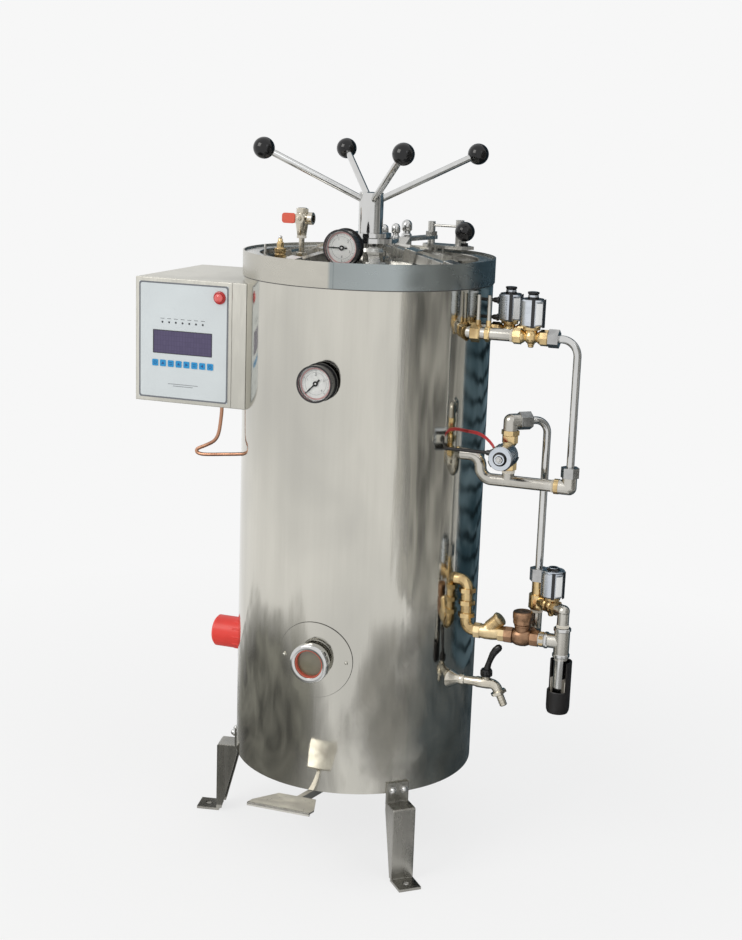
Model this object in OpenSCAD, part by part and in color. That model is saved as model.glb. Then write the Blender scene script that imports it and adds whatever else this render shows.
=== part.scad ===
// Vertical autoclave with a radial-bar lid, a pedal lid lift and automatic steam plumbing.
// The origin is on the vessel's axis at floor level, +Z is up and the control panel faces -Y.
// An azimuth is measured from -Y towards +X; heights inside the machine start at the jacket's lower edge.

/* [Shell] */
// Height of the jacket's lower edge above the floor
leg_h = 155; // [140:1:200]
// Outer diameter of the jacket
jacket_d = 450; // [440:1:470]
// Thickness of the jacket sheet
sheet_t = 2; // [1.2:0.1:3]
// Height of the jacket
jacket_h = 904; // [890:1:960]
// Height of the band round the locking ring
band_h = 44; // [40:1:48]
// Thickness of the band
band_t = 2.3; // [1.5:0.1:3]

/* [Chamber] */
// Inner diameter of the chamber
chamber_d = 350; // [330:1:354]
// Wall of the chamber
chamber_t = 6; // [4:0.5:8]
// Height of the chamber's lowest point
chamber_z = 118; // [100:1:130]
// Height of the basket stand
stand_z = 232; // [226:1:260]

/* [Lid] */
// Crown radius of the lid
lid_crown_r = 430; // [400:1:520]
// Wall of the lid
lid_t = 5; // [4:0.5:7]
// Diameter of the lid's rim
lid_d = 386; // [380:1:388]
// Number of locking bars
bar_n = 6; // [4:1:6]
// Width of a locking bar
bar_w = 20; // [16:1:24]
// Height of a locking bar
bar_h = 16; // [12:1:17]
// Travel of a locking bar along its slope
bar_travel = 20; // [14:1:22]
// Turn of the handle that throws the bars
lock_turn = 75; // [60:1:80]

/* [Handle] */
// Number of spokes
spoke_n = 4; // [3:1:6]
// Radius of the circle through the ball knobs
spoke_reach = 197; // [160:1:220]
// Rise of a spoke in degrees
spoke_rise = 25.2; // [10:0.2:35]
// Diameter of a spoke
spoke_d = 12; // [8:0.5:14]
// Diameter of a ball knob
ball_d = 38; // [30:1:45]
// Diameter of the hub sleeve
sleeve_d = 44; // [36:1:50]
// Height of the hub sleeve
sleeve_h = 71; // [60:1:90]

/* [Pedal] */
// Half of the pedal's swing in degrees
pedal_half = 11; // [6:0.5:12]
// Width of the pedal plate at its outer edge
pedal_w = 115; // [80:1:140]
// Diameter of the lift column
column_d = 14; // [10:1:16]

/* [Control box] */
// Width of the control box
box_w = 219; // [200:1:240]
// Height of the control box
box_h = 226; // [200:1:250]
// Depth of the control box
box_depth = 280; // [200:1:300]
// Height of the box's lower edge above the jacket's lower edge
box_z = 665; // [500:1:670]
// Width of the door
door_w = 191; // [180:1:195]

/* [Gauges] */
// Diameter of a pressure gauge's case
gauge_d = 64; // [50:1:68]
// Depth of a pressure gauge's case
gauge_depth = 27; // [22:1:34]
// Height of the jacket gauge
gauge_z = 746; // [500:1:840]
// Height of the sight glass
sight_z = 248; // [242:1:300]
// Diameter of the sight glass cover ring
sight_d = 72; // [60:1:80]

/* [Plumbing] */
// Outer diameter of the rigid pipes
pipe_d = 21.3; // [17:0.1:22]
// Outer diameter of the bent tubes
tube_d = 13.7; // [10:0.1:15]
// Height of the steam line
steam_z = 829; // [760:1:832]
// Height of the middle line
middle_z = 573; // [540:1:600]
// Height of the water line
water_z = 293; // [280:1:310]
// Height of the drain tap
tap_z = 196; // [185:1:205]
// Distance of the steam drop tube from the jacket
drop_out = 180; // [170:1:215]
// Diameter of a solenoid coil
coil_w = 42; // [34:1:46]
// Height of a solenoid coil
coil_h = 47; // [44:1:56]

/* [Hidden] */
$fn = 64;

// Sizes shared by several pieces: lid to ring, bar end to ring, band above ring, wall stub, edge break
lid_clear = 4;
bar_clear = 5;
band_lip = 4;
seam_az = 1;
lap = 3;
stub_l = 24;
edge_break = 1;

// Overrun of a cut, gap of a seated curved face, radial running clearance and sliding clearance
over = 1;
seat_gap = 0.3;
run_gap = 0.06;
slide_gap = 0.4;
// Fine resolution of the large round shells
shell_fn = 128;

// Radii of the shells
jacket_r = jacket_d / 2;
drop_x = jacket_r + drop_out;
jacket_in = jacket_r - sheet_t;
chamber_r = chamber_d / 2;
chamber_out = chamber_r + chamber_t;
lid_r = lid_d / 2;
ring_in = lid_r + lid_clear;
band_in = jacket_r + seat_gap;
band_top = jacket_h + band_h;

// Seat, gasket and lid rim, measured down from the jacket's top edge
seat_drop = 18;
seat_z = jacket_h - seat_drop;
seat_t = 10;
gasket_h = 8;
gasket_w = 12;
rim_z = seat_z + gasket_h + seat_gap;
rim_t = 10;
lid_rise = 40;
lid_top = jacket_h + lid_rise;
ring_top = band_top - band_lip;
stub_in = chamber_out + stub_l;

// Locking bars: the bar's centre line at its reference radius, its slope and its first azimuth
bar_az = 23;
bar_slope = 13;
bar_ref_r = 200;
bar_rise = 16;
bar_ref_z = jacket_h + bar_rise;
bar_end_r = ring_in - bar_clear;
bar_start_r = 50;
tongue_r = 20;
tongue_w = 12;
tongue_h = 8;
pin_d = 8;
pin_r = 26;
scroll_t = 8;
scroll_wall = 2.5;
scroll_r = pin_r + bar_travel * cos(bar_slope) + pin_d / 2 + scroll_wall;
scroll_rise = 64;
scroll_z = jacket_h + scroll_rise;
flange_r = 38;
flange_t = 8;
sleeve_z = scroll_z + scroll_t + flange_t;
sleeve_top = sleeve_z + sleeve_h;
shaft_r = 10;
shoulder_r = 12;
guide_side = 7;
guide_w = bar_w + 2 * guide_side;
guide_len = 22;
guide_outer_r = 160;
guide_inner_r = 85;
guide_wall = 5;
guide_deep = 30;
slot_gap = 0.2;
sleeve_wall = 12;
throw = bar_travel * cos(bar_slope);
scroll_steps = 12;
ball_rise = 223.5;
ball_z = jacket_h + ball_rise;
handle_az = 34;

// Lift column and arm
column_az = 165.6;
column_in = 14;
column_r = jacket_r - column_in;
column_rise = 93;
column_top = jacket_h + column_rise;
arm_foot_r = 66;
arm_rise_r = 96;
arm_level_r = 120;
arm_w = 22;
arm_t = 7;
arm_level_rise = 60;
arm_z = jacket_h + arm_level_rise;
pad_rise = 39;
pad_z = jacket_h + pad_rise;
grip_az = 149;
grip_d = 16;
grip_h = 46;
post_az = 150.8;
post_out = 1;
post_r = jacket_r + post_out;
knob_az = 143.4;
knob_in = 11;
knob_r = jacket_r - knob_in;
knob_rise = 79;
knob_z = jacket_h + knob_rise;
knob_d = 37;
plate_turn = 3;
plate_rise = 46;
plate_z = jacket_h + plate_rise;
plate_h = 6;
brace_d = 5;

// Pedal lever: its shaft, its arms and its plate
pivot_y = -60;
pivot_z = -40;
pivot_d = 16;
pivot_from = -44;
pivot_side = 31;
arm_bar = 10;
arm_h = 14;
pedal_out = 65;
pedal_near = jacket_r + pedal_out;
pedal_len = 92;
pedal_near_z = 11;
pedal_tilt = 12;
pedal_neck = 70;
pedal_t = 3;
pedal_lip = 14;
nose_d = 14;
nose_w = 16;
lift_bar_h = nose_d * 5 / 8;
base_z = 28;
base_t = 3;
bracket_t = 5;
bracket_w = 34;
column_x = column_r * sin(column_az);
column_y = -column_r * cos(column_az);
pivot_to = column_x + pivot_side;
nose_y = column_y;
nose_z = pivot_z - (nose_y - pivot_y) * tan(pedal_half);
foot_lip = 2;
foot_d = column_d + 2 * foot_lip;
foot_t = 6;

// Legs
leg_n = 3;
leg_az = 40.5;
leg_w = 42;
leg_t = 5;
leg_out = 40;
leg_r = jacket_r + leg_out;
leg_ledge = 16;
leg_tab = 20;
leg_foot_l = 39;
leg_foot_r = leg_r + leg_foot_l;
leg_hole_l = 20;
leg_hole_r = leg_r + leg_hole_l;
leg_hole_d = 11;
web_t = 4;
bolt_pitch = 22;
bolt_d = 8;
bolt_z = 8;

// Heater and its cap
heater_z = 193;
heater_rod_d = 8;
heater_pitch = 34;
heater_len = 270;
plug_d = 50;
cap_d = 61;
cap_len = 66;
cap_wall = 2;

// Sight glass
sight_bore = 42;
nozzle_d = 58;
sight_stand = 25;
sight_face = jacket_r + sight_stand;
glass_t = 8;
glass_d = 48;
plate_d = 138;
plate_t = 1.5;
plate_r = jacket_r + 2 * seat_gap;
plate_screw_az = 15;
screw_d = 8;

// Gauges: stem, dial, glass, needle
stem_d = 14;
gauge_stand = 9;
gauge_rim = 3;
dial_t = 1;
lens_t = 2;
needle_t = 1;
needle_l = 20;
needle_w = 3;
lid_gauge_az = -1.3;
lid_gauge_r = 118;
lid_gauge_rise = 61;
lid_gauge_z = jacket_h + lid_gauge_rise;
lid_stem_r = 104;

// Control box
box_out = 174.5;
box_left = jacket_r + box_out;
box_front = 134.6;
box_wall = 1.5;
door_t = 14.6;
door_gap = 0.5;
hinge_d = 6;
hinge_off = 4;
film_t = 0.8;
film_w = 177;
film_h = 212;
film_in = 7;
key_n = 8;
key_w = 12.4;
key_pitch = 15.7;
key_t = 0.8;
key_x = 40;
key_drop = 154;
display_w = 117;
display_h = 42;
display_x = 35.5;
display_drop = 94;
lamp_d = 22;
lamp_x = 167;
lamp_drop = 28;
led_n = 7;
led_d = 4;
led_x = 54;
led_pitch = 13.4;
led_drop = 79;

// Copper tube between the box and the chamber
copper_d = 8;
copper_y = -72;
copper_out = 37;
copper_x = -jacket_r - copper_out;
copper_bend = 16;
copper_side = 8;
copper_z = 573;

// Plumbing: its plane, the step back to the rear steam line and the places of its pieces along X
plumb_y = -74;
rear_line = 60;
hex_share = 1 / cos(30);
valve_len = 62;
valve_af = 25;
valve_body_d = 30;
steam_valve_out = 98;
steam_valve_x = jacket_r + steam_valve_out;
rear_valve_out = 44;
rear_valve_x = jacket_r + rear_valve_out;
riser_out = 71;
riser_x = jacket_r + riser_out;
riser_valve_rise = 52;
riser_valve_z = middle_z + riser_valve_rise;
union_gap = 15;
union_len = 22;
union_rise = 107;
union_z = middle_z + union_rise;
return_out = 126;
return_x = jacket_r + return_out;
return_back = 45;
return_bend = 24;
return_nut_z = 387;
nut_len = 18;
nut_af = 28;
return_nut_len = 23;
tube_bend = 28;
pipe_bend_r = 20.5;
steam_nut_out = 131;
steam_nut_x = jacket_r + steam_nut_out;
drop_nut_rise = 18;
drop_nut_z = middle_z + drop_nut_rise;
ring_len = 8;
ring_d = 27;
elbow_d = 26;
return_turn = atan2(return_back, return_x - riser_x);
return_reach = norm([return_x - riser_x, return_back]);
stem_outs = [3, 22];
stem_x = [for (out = stem_outs) jacket_r + out];
stem_rise = 66;
stem_top_z = steam_z + stem_rise;
stem_od = 7;
collar_h = 12;
water_port_z = 385;
port_out = 8;
port_x = jacket_r + port_out;
port_bend = 16;
strainer_out = 25;
strainer_x = jacket_r + strainer_out;
strainer_len = 56;
strainer_af = 27;
basket_d = 22;
basket_len = 40;
basket_tilt = 45;
check_len = 62;
check_af = 28;
check_d = 34;
check_cap_d = 36;
check_cap_h = 22;
check_x = strainer_x + strainer_len;
side_boss = 22;
tee_out = 184.5;
tee_x = jacket_r + tee_out;
tee_d = 28;
tee_h = 54;
low_valve_share = 0.46;
link_turn = atan2(return_back, return_x - tee_x);
link_reach = norm([return_x - tee_x, return_back]);
valve_place = low_valve_share * link_reach;
low_lead_rise = 4;
low_lead_z = riser_valve_z + low_lead_rise;
low_lead_back = -42;
low_valve_z = 350;
boot_d = 42;
boot_wall = 3;
boot_z = 163;
boot_h = 96;
lead_d = 6;
lead_rises = [22, 52];
lead_z = [for (rise = lead_rises) steam_z + rise];
coil_gap = 18;
coil_edge = 3;
coil_bore = 12;
cap_nut_d = 18;
cap_nut_h = 7;
tap_flange_d = 46;
tap_len = 66;
tap_d = 20;
tap_bend = 14;
tap_drop = 8;
tap_barb_d = 13;
tap_barb_h = 22;
tap_stem_out = 51;
tap_stem_x = jacket_r + tap_stem_out;
tap_stem_d = 10;
tap_stem_h = 7;
tap_lever_l = 50;
tap_lever_tilt = 20;
tap_lever_d = 11;

// Small valves on the lid: azimuth, radius, top height above the jacket's top edge and diameter
ball_valve_az = -80.8;
ball_valve_r = 126;
safety_az = -58.7;
safety_r = 163;
safety_d = 21;
relief_places = [[174.6, 165, 96, 20], [178.4, 134, 90, 17], [187, 121, 88, 17]];
stud_places = [[-64.8, 188, 55, 5], [157.2, 188, 46, 5], [152.2, 188, 46, 5]];
boss_d = 24;
boss_h = 6;
boss_r = 30;
boss_rise = 48;
boss_top = jacket_h + boss_rise;
shaft_rise = 126;
shaft_top = jacket_h + shaft_rise;
safety_rise = 72;
safety_z = jacket_h + safety_rise;
lid_ports = concat([[lid_gauge_az, lid_stem_r], [ball_valve_az, ball_valve_r], [safety_az, safety_r]],
    [for (p = relief_places) [p[0], p[1]]]);

// The cock on the lid
cock_d = 24;
cock_rise = 100;
cock_z = jacket_h + cock_rise;
cock_top = 19;
cock_side = 22;
cock_stem_d = 6;
cock_stem_l = 24;
cock_lever_t = 5;
cock_lever_w = 18;
cock_lever_l = 32;

// Places a child at an azimuth, a radius and a height above the jacket's lower edge
module at(az, r = 0, z = 0) {
    rotate(az) translate([0, -r, leg_h + z]) children();
}

// Turns a child's Z axis outwards
module outwards() {
    rotate([90, 0, 0]) children();
}

// A straight ring
module ring(d_out, d_in, h, fn = $fn) {
    difference() {
        cylinder(d = d_out, h = h, $fn = fn);
        translate([0, 0, -over]) cylinder(d = d_in, h = h + 2 * over, $fn = fn);
    }
}

// A hexagon bar given by its width across flats
module hex(af, h) {
    cylinder(d = af * hex_share, h = h, $fn = 6);
}

// A pipe in the X-Z plane: each step is a straight length, a bend radius and a turn in degrees
module pipe_run(d, steps, i = 0) {
    if (i < len(steps)) {
        straight = steps[i][0];
        bend = steps[i][1];
        turn = steps[i][2];
        if (straight > 0) rotate([0, 90, 0]) cylinder(d = d, h = straight);
        translate([straight, 0, 0]) {
            if (turn != 0) translate([0, 0, sign(turn) * bend]) rotate([90, 0, 0])
                rotate(turn > 0 ? -90 : 90 + turn) rotate_extrude(angle = abs(turn))
                    translate([bend, 0]) circle(d = d);
            translate([bend * sin(abs(turn)), 0, sign(turn) * bend * (1 - cos(turn))])
                rotate([0, -turn, 0]) pipe_run(d, steps, i + 1);
        }
    }
}

// Places a child in the plumbing plane: X runs outwards, Z is up
module plumb(x, z, back = 0) {
    translate([x, plumb_y + back, leg_h + z]) children();
}

// A cylinder along X
module along_x(d, h) {
    rotate([0, 90, 0]) cylinder(d = d, h = h);
}

// Height of the lid's outer face at a radius
function dome_z(r) = lid_top - lid_crown_r + sqrt(lid_crown_r * lid_crown_r - r * r);

// Height of a locking bar's centre line at a radius
function bar_z(r) = bar_ref_z + (bar_ref_r - r) * tan(bar_slope);

// Holes through the jacket and the insulation for everything that passes to the chamber
module ports(gap) {
    at(0, 0, sight_z) outwards() cylinder(d = nozzle_d + gap, h = jacket_d);
    at(0, 0, gauge_z) outwards() cylinder(d = stem_d + gap, h = jacket_d);
    at(-90, 0, heater_z) outwards() cylinder(d = plug_d + gap, h = jacket_d);
    translate([0, copper_y, leg_h + copper_z]) rotate([0, -90, 0]) cylinder(d = copper_d + gap, h = jacket_d);
    for (z = [steam_z, middle_z + 2 * pipe_bend_r, water_port_z, tap_z])
        plumb(0, z) along_x(pipe_d + gap, jacket_d);
    plumb(0, steam_z, rear_line) along_x(pipe_d + gap, jacket_d);
    for (z = lead_z) plumb(0, z, rear_line) along_x(lead_d + gap, jacket_d);
    plumb(0, low_lead_z, low_lead_back) along_x(lead_d + gap, jacket_d);
}

module jacket() {
    color("silver") difference() {
        translate([0, 0, leg_h]) ring(jacket_d, 2 * jacket_in, jacket_h, shell_fn);
        ports(slide_gap);
        for (leg = [0:leg_n - 1], side = [-1, 1]) at(leg_az + leg * 360 / leg_n, 0, bolt_z)
            translate([side * bolt_pitch / 2, 0, 0]) outwards()
                cylinder(d = bolt_d + slide_gap, h = jacket_d);
    }
}

module top_band() {
    color("gainsboro") translate([0, 0, leg_h + jacket_h + seat_gap]) {
        ring(2 * (band_in + band_t), 2 * band_in, band_h - seat_gap, shell_fn);
        // The lapped seam of the band
        rotate(seam_az - 90) rotate_extrude(angle = lap, $fn = shell_fn) translate([band_in + band_t / 2, 0])
            square([band_t, band_h - seat_gap]);
    }
}

module vessel() {
    bottom_r = 2 * chamber_r;
    sag = bottom_r - sqrt(bottom_r * bottom_r - chamber_r * chamber_r);
    side_z = chamber_z + chamber_t + sag;
    color("lightgray") difference() {
        union() {
            translate([0, 0, leg_h]) rotate_extrude($fn = shell_fn) polygon(concat(
                [[0, chamber_z]],
                [for (i = [1:8]) [chamber_out * i / 8, chamber_z + bottom_r
                    - sqrt(bottom_r * bottom_r - pow(chamber_r * i / 8, 2))]],
                [[chamber_out, seat_z - seat_t], [ring_in - seat_gap, seat_z - seat_t],
                 [ring_in - seat_gap, seat_z], [0, seat_z]]));
            at(0, 0, sight_z) outwards() cylinder(d = nozzle_d, h = sight_face - glass_t);
            at(0, 0, gauge_z) outwards() cylinder(d = stem_d, h = stub_in);
            at(-90, 0, heater_z) outwards() cylinder(d = plug_d, h = stub_in);
            for (z = [steam_z, middle_z + 2 * pipe_bend_r, water_port_z, tap_z])
                plumb(0, z) along_x(pipe_d, stub_in);
            plumb(0, steam_z, rear_line) along_x(pipe_d, stub_in);
            translate([0, copper_y, leg_h + copper_z]) rotate([0, -90, 0])
                cylinder(d = copper_d, h = stub_in);
        }
        translate([0, 0, leg_h]) rotate_extrude($fn = shell_fn) polygon(concat(
            [[0, chamber_z + chamber_t]],
            [for (i = [1:8]) [chamber_r * i / 8, chamber_z + chamber_t + bottom_r
                - sqrt(bottom_r * bottom_r - pow(chamber_r * i / 8, 2))]],
            [[chamber_r, seat_z + over], [0, seat_z + over]]));
        at(0, 0, sight_z) outwards() cylinder(d = sight_bore, h = jacket_d);
        at(-90, 0, heater_z) outwards() cylinder(d = plug_d - 2 * chamber_t, h = jacket_d);
    }
}

module vessel_ring() {
    color("silver") difference() {
        translate([0, 0, leg_h]) rotate_extrude($fn = shell_fn) polygon([
            [ring_in, seat_z - seat_t], [ring_in - lid_clear, seat_z - seat_t],
            [ring_in - lid_clear, seat_z - 2 * seat_t], [jacket_in - seat_gap, seat_z - 2 * seat_t],
            [jacket_in - seat_gap, jacket_h], [jacket_r - seat_gap, jacket_h],
            [jacket_r - seat_gap, ring_top], [ring_in + over, ring_top], [ring_in, ring_top - over]]);
        for (i = [0:bar_n - 1]) bar_frame(i) translate([-bar_w / 2 - slide_gap,
            bar_ref_r - bar_end_r - throw - 3 * slide_gap, -bar_h / 2 - slide_gap])
            cube([bar_w + 2 * slide_gap, bar_travel + bar_w, bar_h + 2 * slide_gap]);
        at(column_az, column_r, seat_z - 3 * seat_t) cylinder(r = column_d / 2 + run_gap, h = jacket_h);
    }
}

// The frame of one bar: its origin is at the reference radius and -Y points outwards along the slope
module bar_frame(i) {
    at(bar_az + i * 360 / bar_n, bar_ref_r, bar_ref_z) rotate([bar_slope, 0, 0]) children();
}

module insulation() {
    low = chamber_z + chamber_r / 2;
    color("khaki") difference() {
        translate([0, 0, leg_h + low]) ring(2 * (jacket_in - seat_gap), 2 * (chamber_out + seat_gap),
            seat_z - 2 * seat_t - low - seat_gap, shell_fn);
        ports(slide_gap);
        at(column_az, column_r, 0) cylinder(d = column_d * 3 / 2, h = jacket_h);
    }
}

module base_plate() {
    color("dimgray") difference() {
        union() {
            at(0, 0, base_z) cylinder(r = jacket_in - seat_gap, h = base_t, $fn = shell_fn);
            // Two bearing plates for the pedal shaft
            for (x = [pivot_from + bracket_t, pivot_to - 2 * bracket_t]) {
                translate([x, pivot_y - bracket_w / 2, leg_h + pivot_z])
                    cube([bracket_t, bracket_w, base_z - pivot_z + base_t / 2]);
                translate([x, pivot_y, leg_h + pivot_z]) along_x(bracket_w, bracket_t);
            }
        }
        translate([pivot_from, pivot_y, leg_h + pivot_z]) rotate([0, 90, 0])
            cylinder(r = pivot_d / 2 + run_gap, h = pivot_to - pivot_from);
        at(column_az, column_r, base_z - over) cylinder(d = 5 / 2 * column_d, h = base_t + 2 * over);
    }
}

module legs() {
    color("silver") for (leg = [0:leg_n - 1]) at(leg_az + leg * 360 / leg_n) difference() {
        union() {
            // The bent strip: tab, ledge, upright and foot
            translate([-leg_w / 2, 0, 0]) rotate([90, 0, 90]) linear_extrude(leg_w) polygon([
                [-jacket_r + leg_t, leg_tab], [-jacket_r - leg_t, leg_tab],
                [-jacket_r - leg_t, -leg_ledge], [-leg_r + leg_t / 2, -leg_ledge],
                [-leg_r, -leg_ledge - leg_t / 2],
                [-leg_r, -leg_h + leg_t], [-leg_foot_r, -leg_h + leg_t], [-leg_foot_r, -leg_h],
                [-leg_r + leg_t, -leg_h], [-leg_r + leg_t, -leg_ledge - leg_t],
                [-jacket_r, -leg_ledge - leg_t], [-jacket_r + leg_t, -leg_ledge - leg_t]]);
            // The two tapering side webs
            for (x = [-leg_w / 2, leg_w / 2 - web_t]) translate([x, 0, 0]) rotate([90, 0, 90])
                linear_extrude(web_t) polygon([[-jacket_r, -leg_ledge - leg_t / 2],
                    [-leg_r + leg_t / 2, -leg_ledge - leg_t / 2], [-leg_r + leg_t / 2, -leg_h + leg_t],
                    [-leg_r + 2 * leg_t, -leg_h + leg_t], [-jacket_r, -2 * leg_ledge]]);
        }
        // The tab follows the jacket, and the whole leg keeps clear of the pedal's path inside
        translate([0, 0, -leg_h]) cylinder(r = jacket_r + seat_gap, h = jacket_h, $fn = shell_fn);
        for (side = [-1, 1]) translate([side * bolt_pitch / 2, 0, bolt_z])
            outwards() cylinder(d = bolt_d + slide_gap, h = jacket_d);
        translate([0, -leg_hole_r, -leg_h - over]) cylinder(d = leg_hole_d, h = leg_t + 2 * over);
    }
}

module leg_bolts() {
    color("gainsboro") for (leg = [0:leg_n - 1], side = [-1, 1]) at(leg_az + leg * 360 / leg_n, 0, bolt_z)
        translate([side * bolt_pitch / 2, 0, 0]) outwards() {
            translate([0, 0, jacket_in - edge_break])
                cylinder(d = bolt_d, h = 2 * leg_t + sheet_t + edge_break);
            translate([0, 0, jacket_r + leg_t]) hex(13 / 8 * bolt_d, bolt_d / 2);
            translate([0, 0, jacket_r + leg_t + bolt_d / 2]) intersection() {
                sphere(d = 12 / 8 * bolt_d);
                cylinder(d = 2 * bolt_d, h = bolt_d);
            }
        }
}

module heaters() {
    color("dimgray") at(-90, 0, heater_z) outwards() {
        translate([0, 0, stub_in])
            cylinder(d = plug_d - 4 * edge_break, h = jacket_r + 2 * edge_break - stub_in);
        translate([0, 0, chamber_r - edge_break])
            cylinder(d = plug_d - 2 * chamber_t - edge_break, h = stub_in - chamber_r + edge_break);
        // Two hairpin elements
        for (y = [-1, 1] * heater_rod_d) translate([0, y, 0]) {
            for (x = [-1, 1] * heater_pitch / 4) translate([x, 0, chamber_r - heater_len])
                cylinder(d = heater_rod_d, h = heater_len);
            translate([0, 0, chamber_r - heater_len]) rotate([-90, 0, 0])
                rotate_extrude(angle = 180) translate([heater_pitch / 4, 0]) circle(d = heater_rod_d);
        }
    }
}

module heater_cap() {
    wall = cap_wall;
    color("crimson") at(-90, jacket_r + seat_gap, heater_z) outwards() difference() {
        union() {
            cylinder(d = cap_d, h = cap_len - cap_d / 16);
            translate([0, 0, cap_len - cap_d / 16]) cylinder(d1 = cap_d, d2 = cap_d * 7 / 8, h = cap_d / 16);
            for (i = [0:11]) rotate(i * 30) translate([cap_d / 2 - wall / 2, 0, 0])
                cylinder(d = 2 * wall, h = cap_len / 3);
        }
        translate([0, 0, -over]) cylinder(d = cap_d - 2 * wall, h = cap_len - wall);
        at_saddle(heater_z);
    }
}

// A shallow cut that fits a flat-ended piece at the jacket to the jacket's curve
module at_saddle(z) {
    translate([0, 0, -jacket_r - seat_gap]) rotate([-90, 0, 0]) translate([0, 0, -jacket_r])
        cylinder(r = jacket_r + seat_gap, h = jacket_d, $fn = shell_fn);
}

module basket_stand() {
    stand_t = 3;
    stand_r = chamber_r - 3 * stand_t;
    leg_edge = chamber_r * 6 / 8;
    bottom_r = 2 * chamber_r;
    floor_z = chamber_z + chamber_t + bottom_r - sqrt(bottom_r * bottom_r - leg_edge * leg_edge);
    hole_d = 9;
    color("silver") {
        at(0, 0, stand_z) difference() {
            cylinder(r = stand_r, h = stand_t, $fn = shell_fn);
            for (row = [1:5], i = [0:6 * row - 1]) rotate(i * 60 / row)
                translate([row * stand_r / 6, 0, -over])
                cylinder(d = hole_d, h = stand_t + 2 * over);
        }
        for (i = [0:2]) at(60 + i * 120, leg_edge - stand_t, floor_z)
            cylinder(d = 2 * stand_t, h = stand_z - floor_z);
    }
}

module sight_plate() {
    color("gainsboro") intersection() {
        difference() {
            translate([0, 0, leg_h + sight_z - plate_d]) ring(2 * (plate_r + plate_t), 2 * plate_r,
                2 * plate_d, shell_fn);
            at(0, 0, sight_z) outwards() cylinder(d = nozzle_d + slide_gap, h = jacket_d);
        }
        at(0, 0, sight_z) outwards() cylinder(d = plate_d, h = jacket_d);
    }
    color("silver") difference() {
        for (side = [-1, 1]) at(side * plate_screw_az, plate_r + plate_t / 2, sight_z) outwards() {
            cylinder(d = screw_d, h = plate_t);
            translate([0, 0, plate_t - screw_d / 8]) sphere(d = screw_d * 3 / 4);
        }
        translate([0, 0, leg_h]) cylinder(r = plate_r, h = jacket_h, $fn = shell_fn);
    }
}

module sight_ring() {
    color("silver") at(0, sight_face - 2 * glass_t, sight_z) outwards() difference() {
        union() {
            cylinder(d = sight_d - 4 * edge_break, h = 2 * glass_t);
            translate([0, 0, 2 * glass_t]) cylinder(d1 = sight_d, d2 = sight_d * 8 / 9, h = glass_t / 2);
            translate([0, 0, glass_t]) cylinder(d = sight_d, h = glass_t);
        }
        translate([0, 0, -over]) cylinder(d = nozzle_d + 2 * run_gap, h = 2 * glass_t + over);
        cylinder(d = sight_bore + 2 * edge_break, h = 4 * glass_t);
    }
}

module sight_glass() {
    color("darkkhaki", 0.5) at(0, sight_face - glass_t, sight_z) outwards()
        cylinder(d = glass_d, h = glass_t);
}

module sight_gasket() {
    color("firebrick") at(0, sight_face - glass_t, sight_z) outwards()
        ring(nozzle_d - edge_break, glass_d + seat_gap, glass_t);
}

// A gauge case with its back flange, opening forwards along Z
module gauge_case() {
    difference() {
        union() {
            cylinder(d = gauge_d - gauge_rim, h = gauge_depth);
            cylinder(d = gauge_d + 2 * edge_break, h = gauge_rim * 2 / 3);
            translate([0, 0, gauge_depth - 2 * gauge_rim]) cylinder(d = gauge_d, h = 2 * gauge_rim);
        }
        translate([0, 0, gauge_depth - 3 * gauge_rim])
            cylinder(d = gauge_d - 2 * gauge_rim, h = 4 * gauge_rim);
    }
}

module gauge_dial() {
    cylinder(d = gauge_d - 2 * gauge_rim - 2 * run_gap, h = dial_t);
    translate([0, 0, dial_t]) cylinder(d = needle_w, h = dial_t + needle_t);
}

module gauge_needle() {
    difference() {
        union() {
            cylinder(d = 3 * needle_w, h = needle_t);
            linear_extrude(needle_t) polygon([[-needle_w / 2, -needle_l / 2], [needle_w / 2, -needle_l / 2],
                [needle_w / 4, needle_l * 5 / 4], [-needle_w / 4, needle_l * 5 / 4]]);
        }
        translate([0, 0, -over]) cylinder(d = needle_w + 2 * run_gap, h = needle_t + 2 * over);
    }
}

// Places a gauge at the jacket, its Z axis pointing forwards
module at_jacket_gauge(depth = 0) {
    at(0, jacket_r + gauge_stand + depth, gauge_z) outwards() children();
}

module at_lid_gauge(depth = 0) {
    at(lid_gauge_az, lid_gauge_r + depth, lid_gauge_z) outwards() children();
}

module jacket_gauge() {
    color([0.06, 0.06, 0.07]) {
        at_jacket_gauge() gauge_case();
        at(0, stub_in, gauge_z) outwards() cylinder(d = stem_d, h = jacket_r + gauge_stand - stub_in + over);
        at(0, jacket_r + gauge_stand * 2 / 5, gauge_z) outwards() hex(stem_d * 3 / 2, gauge_stand * 3 / 5);
    }
}

module lid_gauge() {
    color([0.06, 0.06, 0.07]) {
        at_lid_gauge() gauge_case();
        at(lid_gauge_az, lid_stem_r, dome_z(lid_stem_r) + boss_h) {
            cylinder(d = stem_d, h = lid_gauge_z - dome_z(lid_stem_r) - boss_h + stem_d * 3 / 4);
            hex(stem_d * 3 / 2, stem_d * 2 / 3);
        }
        at(lid_gauge_az, lid_stem_r, lid_gauge_z) outwards()
            cylinder(d = stem_d * 3 / 4, h = lid_gauge_r - lid_stem_r + edge_break);
    }
}

needle_depth = gauge_depth - 3 * gauge_rim + 2 * dial_t;
lens_depth = gauge_depth - gauge_rim;

module jacket_gauge_dial() {
    color("white") at_jacket_gauge(gauge_depth - 3 * gauge_rim) gauge_dial();
}

module jacket_gauge_glass() {
    color("white", 0.3) at_jacket_gauge(lens_depth)
        cylinder(d = gauge_d - 2 * gauge_rim - 2 * run_gap, h = lens_t);
}

module jacket_gauge_needle() {
    color("black") at_jacket_gauge(needle_depth) rotate(135) gauge_needle();
}

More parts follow.
